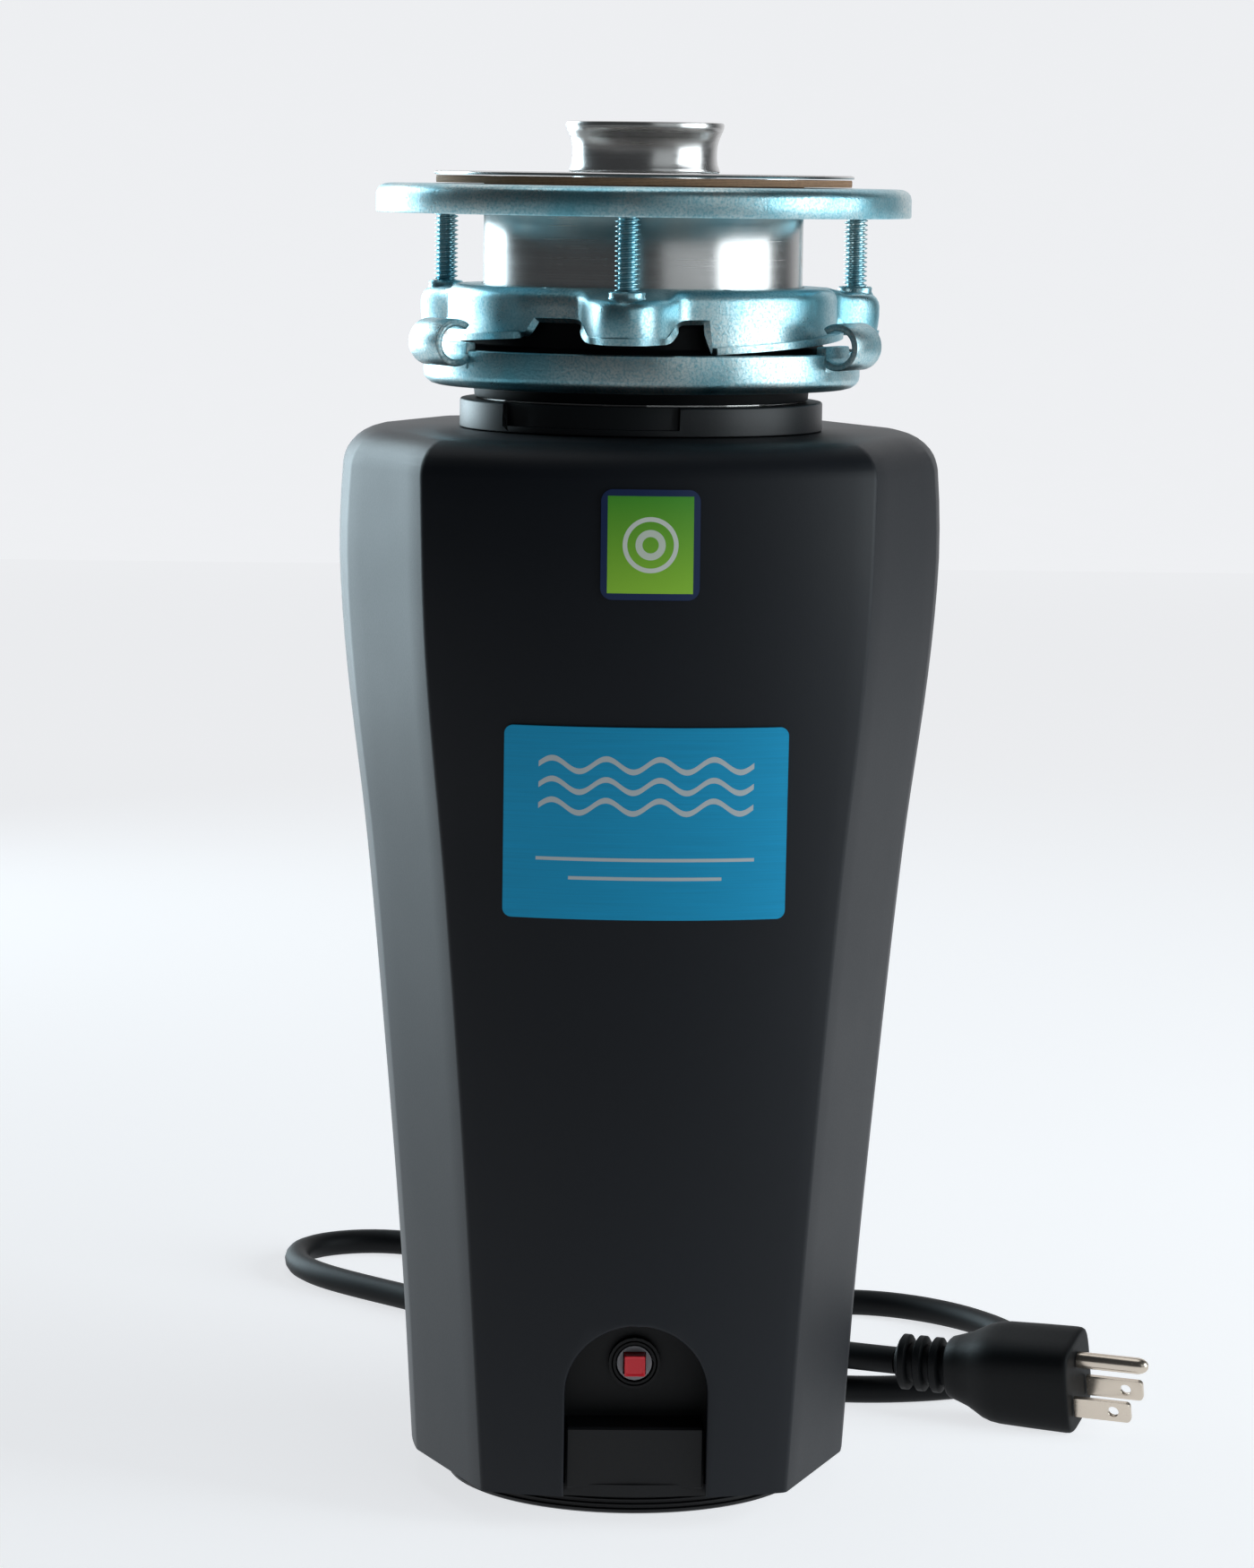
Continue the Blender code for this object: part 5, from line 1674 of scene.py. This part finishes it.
@dataclass
class LowerRing:
    """The lower mounting ring, with three rolled lugs for turning it."""

    radius: float = 0.0595
    top: float = 0.313
    bottom: float = 0.3027
    wall: float = 0.0019
    lugs: Sequence[float] = (60.0, 180.0, 300.0)
    lug_radius: float = 0.0063
    lug_centre: float = 0.0625
    lug_height: float = 0.315
    lug_length: float = 0.015
    lug_start: float = 200.0
    lug_turn: float = 290.0

    def build(self) -> None:
        """Make the ring and roll its lugs."""
        outer, inner = self.radius, self.radius - self.wall
        ring = Bench.lathe("lower_ring_piece", (
            (outer - 0.0006, self.top), (outer - 0.0001, 0.3127), (outer, 0.3121), (outer, 0.3062),
            (0.0593, 0.3050), (0.0586, 0.3040), (0.0575, 0.3032), (0.0560, 0.3028), (0.0545, self.bottom),
            (0.0470, self.bottom), (0.0466, 0.3031), (0.0466, 0.3041), (0.0470, 0.3045), (0.0555, 0.3046),
            (0.0568, 0.3052), (inner, 0.3066), (inner, 0.3126), (inner + 0.0004, self.top)), 160)
        lug = self.build_lug()
        lugs = [Bench.copy(lug, f"lug_{number}", turn_z(angle)) for number, angle in enumerate(self.lugs)]
        bpy.data.objects.remove(lug, do_unlink=True)
        Bench.join(ring, *lugs)
        install(Bench.soften(ring, 0.0), "lower_ring", Slot.ZINC, "lower_mounting_ring")

    def build_lug(self) -> bpy.types.Object:
        """Make one lug at the front: a strip spun into an open tube, rising from the ring's wall.

        Returns:
            The lug.
        """
        centre = Vector((0.0, -self.lug_centre, self.lug_height))
        half = self.lug_length / 2
        start = math.radians(self.lug_start)
        direction = Vector((0.0, -math.cos(start), math.sin(start)))
        lug = Bench.dot("lug", centre + direction * self.lug_radius + Vector((-half, 0.0, 0.0)))
        Bench.drag(-direction * self.wall)
        bpy.ops.mesh.select_all(action="SELECT")
        bpy.ops.mesh.spin(steps=40, angle=math.radians(self.lug_turn), center=centre, axis=(1.0, 0.0, 0.0))
        bpy.ops.mesh.select_all(action="SELECT")
        Bench.drag((self.lug_length, 0.0, 0.0))
        Bench.close()
        Bench.soften(lug, 0.0003, 2)
        root = Bench.block("lug_root", (-half + 0.0002, -self.radius + 0.0001, 0.3080),
                           (half - 0.0002, -self.radius + self.wall + 0.0012, 0.3150), 0.0005)
        return Bench.join(lug, root)


@dataclass
class Neck:
    """The rubber mounting gasket and the collar on top of the casing."""

    def build(self) -> None:
        """Make the gasket, the splash guard and the collar."""
        gasket = Bench.lathe("neck_gasket", (
            (0.0493, 0.3215), (0.0493, 0.3140), (0.0562, 0.3120), (0.0562, 0.3068), (0.0545, 0.3049),
            (0.0460, 0.3049), (0.0455, 0.2994), (0.0436, 0.2994), (0.0436, 0.3064), (0.0408, 0.3064),
            (0.0408, 0.3114), (0.0442, 0.3117), (0.0442, 0.3215)), 128, bevel=0.0004)
        install(gasket, "housing", Slot.RUBBER, "mounting_gasket")
        guard = Bench.lathe("guard_flaps", (
            (0.0403, 0.3081), (0.0404, 0.3079), (0.0404, 0.3066), (0.0094, 0.3066), (0.0090, 0.3070),
            (0.0090, 0.3078), (0.0094, 0.3081)), 96)
        for number in range(4):
            slit = Bench.block("slit", (-0.033, -0.0004, 0.300), (0.033, 0.0004, 0.312))
            slit.data.transform(turn_z(45.0 * number))
            Bench.cut(guard, slit)
        install(Bench.soften(guard, 0.0), "housing", Slot.RUBBER, "splash_guard")
        collar = Bench.lathe("collar", (
            (0.0491, 0.2990), (0.0495, 0.2986), (0.0495, 0.2913), (0.0440, 0.2913), (0.0440, 0.2986),
            (0.0444, 0.2990)), 144)
        outline = [around(-50.0 + 3.0 * step, 0.0480) for step in range(21)]
        outline += [around(10.0 - 3.0 * step, 0.0530) for step in range(21)]
        recess = Bench.skin("recess", [[(p.x, p.y, z) for p in outline] for z in (0.2930, 0.3050)], True)
        Bench.cut(collar, recess)
        Bench.soften(collar, 0.00025, 2)
        install(collar, "housing", Slot.COLLAR, "neck_collar")


# ------------------------------------------------------------------ the discharge and the inlet
@dataclass
class Discharge:
    """The discharge elbow with its gasket, clamp plate and screws, and the dishwasher inlet."""

    outlet_height: float = 0.183
    lip: float = 0.0860
    straight: float = 0.100
    bend: float = 0.028
    mouth: float = 0.137
    outer: float = 0.019
    bore: float = 0.016
    screw_x: float = 0.027
    inlet_height: float = 0.245
    inlet_foot: float = 0.0628

    def build(self) -> None:
        """Make the drain side of the disposal."""
        axis = (0.0, 0.0, self.outlet_height)
        gasket = Bench.lathe("outlet_gasket", (
            (0.0220, 0.0833), (0.0220, 0.0857), (self.bore, 0.0857), (self.bore, 0.0833)),
            96, Axis.BACK, axis, 0.0004)
        install(gasket, "housing", Slot.RUBBER, "discharge_gasket")
        self.build_elbow(axis)
        self.build_clamp(axis)
        foot = self.inlet_foot
        barbs = [(0.0090, foot + 0.0410), (0.0100, foot + 0.0410), (0.0105, foot + 0.0404)]
        for number in range(2):
            far = foot + 0.0375 - number * 0.0045
            barbs += [(0.0118, far), (0.0118, far - 0.0004), (0.0111, far - 0.0006)]
        barbs += [(0.0111, foot + 0.0032), (0.0150, foot + 0.0032), (0.0150, foot), (0.0090, foot)]
        nipple = Bench.lathe("drain_nipple", barbs, 96, Axis.BACK, (0.0, 0.0, self.inlet_height), 0.0003)
        install(nipple, "housing", Slot.PLASTIC, "dishwasher_inlet")

    def build_elbow(self, axis: Point) -> None:
        """Make the elbow: a ring drawn out, spun through a quarter turn, and drawn down.

        Args:
            axis: a point on the outlet's axis.
        """
        Bench.clear()
        bpy.ops.mesh.primitive_circle_add(vertices=72, radius=self.outer, fill_type="NOTHING",
                                          location=(0.0, self.lip, self.outlet_height),
                                          rotation=(math.radians(90.0), 0.0, 0.0))
        elbow = Bench.named("elbow")
        bpy.ops.object.mode_set(mode="EDIT")
        bpy.ops.mesh.select_all(action="SELECT")
        Bench.drag((0.0, self.straight - self.lip, 0.0))
        bpy.ops.mesh.spin(steps=24, angle=math.radians(90.0), axis=(1.0, 0.0, 0.0),
                          center=(0.0, self.straight, self.outlet_height - self.bend))
        Bench.drag((0.0, 0.0, self.mouth - self.outlet_height + self.bend))
        Bench.close()
        Bench.apply(elbow, "SOLIDIFY", {"thickness": self.outer - self.bore, "offset": -1.0})
        back, outer, mouth = self.lip + 0.0022, self.outer, self.mouth
        lip = Bench.lathe("elbow_lip", (
            (0.0220, self.lip), (0.0220, back), (self.bore, back), (self.bore, self.lip)),
            96, Axis.BACK, axis, 0.0003)
        bead = Bench.lathe("elbow_bead", (
            (outer + 0.0007, mouth + 0.0024), (outer + 0.0007, mouth + 0.0005), (outer, mouth + 0.0001),
            (outer - 0.0012, mouth + 0.0001), (outer - 0.0012, mouth + 0.0030), (outer, mouth + 0.0030)),
            96, Axis.UP, (0.0, self.straight + self.bend, 0.0), 0.0002)
        Bench.join(elbow, lip, bead)
        install(Bench.soften(elbow, 0.0), "housing", Slot.PLASTIC, "discharge_elbow")

    def build_clamp(self, axis: Point) -> None:
        """Make the pressed clamp plate and its two hex screws.

        Args:
            axis: a point on the outlet's axis.
        """
        near, far = self.lip + 0.0025, self.lip + 0.0047
        plate = Bench.bar("clamp_plate", (0.0, near, self.outlet_height), Axis.BACK, 0.0250, far - near, 96)
        wings = Bench.block("wings", (-0.033, near, self.outlet_height - 0.0085),
                            (0.033, far, self.outlet_height + 0.0085))
        Bench.choose(wings, "EDGE", across)
        bpy.ops.mesh.bevel(offset=0.0055, segments=8, affect="EDGES")
        bpy.ops.object.mode_set(mode="OBJECT")
        Bench.cut(plate, wings, "UNION")
        for x, radius, sides in ((0.0, self.outer + 0.0005, 96), (self.screw_x, 0.0024, 32),
                                 (-self.screw_x, 0.0024, 32)):
            Bench.cut(plate, Bench.bar("hole", (x, near - 0.01, self.outlet_height), Axis.BACK, radius,
                                       0.03, sides))
        install(Bench.soften(plate, 0.0005, 3), "housing", Slot.ZINC, "elbow_clamp")
        for number, side in enumerate((1, -1), 1):
            at = (side * self.screw_x, 0.0, self.outlet_height)
            washer = Bench.lathe(f"hex_screw_{number}", (
                (0.0, far + 0.0008), (0.0042, far + 0.0008), (0.0042, far + 0.0003), (0.0019, far + 0.0003),
                (0.0019, 0.0790), (0.0, 0.0790)), 40, Axis.BACK, at, 0.0001)
            head = Bench.bar("head", (at[0], far + 0.0006, at[2]), Axis.BACK, 0.0034, 0.0025, 6)
            Bench.join(washer, Bench.soften(head, 0.0003))
            install(Bench.soften(washer, 0.0), "housing", Slot.STEEL, f"clamp_screw_{number}")


def dress_kept_nodes() -> None:
    """Give every node that still shows its slot's finish."""
    slots = {part["node"]: Slot(part["material_slot"]) for part in frame["record"]["subparts"]}
    for name, obj in frame["nodes"].items():
        if obj.hide_render:
            continue
        obj.material_slots[0].material = material(slots[name])
        log.info("%s keeps its mesh with the finish %s", name, slots[name].value)


def main() -> None:
    """Build every sub-assembly in order."""
    logging.basicConfig(level=logging.INFO, format="%(name)s: %(message)s")
    for assembly in (Studio, Lead, Casing, Base, SinkFlange, BackupRing, UpperRing, LowerRing, Neck,
                     Discharge):
        assembly().build()
    dress_kept_nodes()


if __name__ == "__main__":
    main()
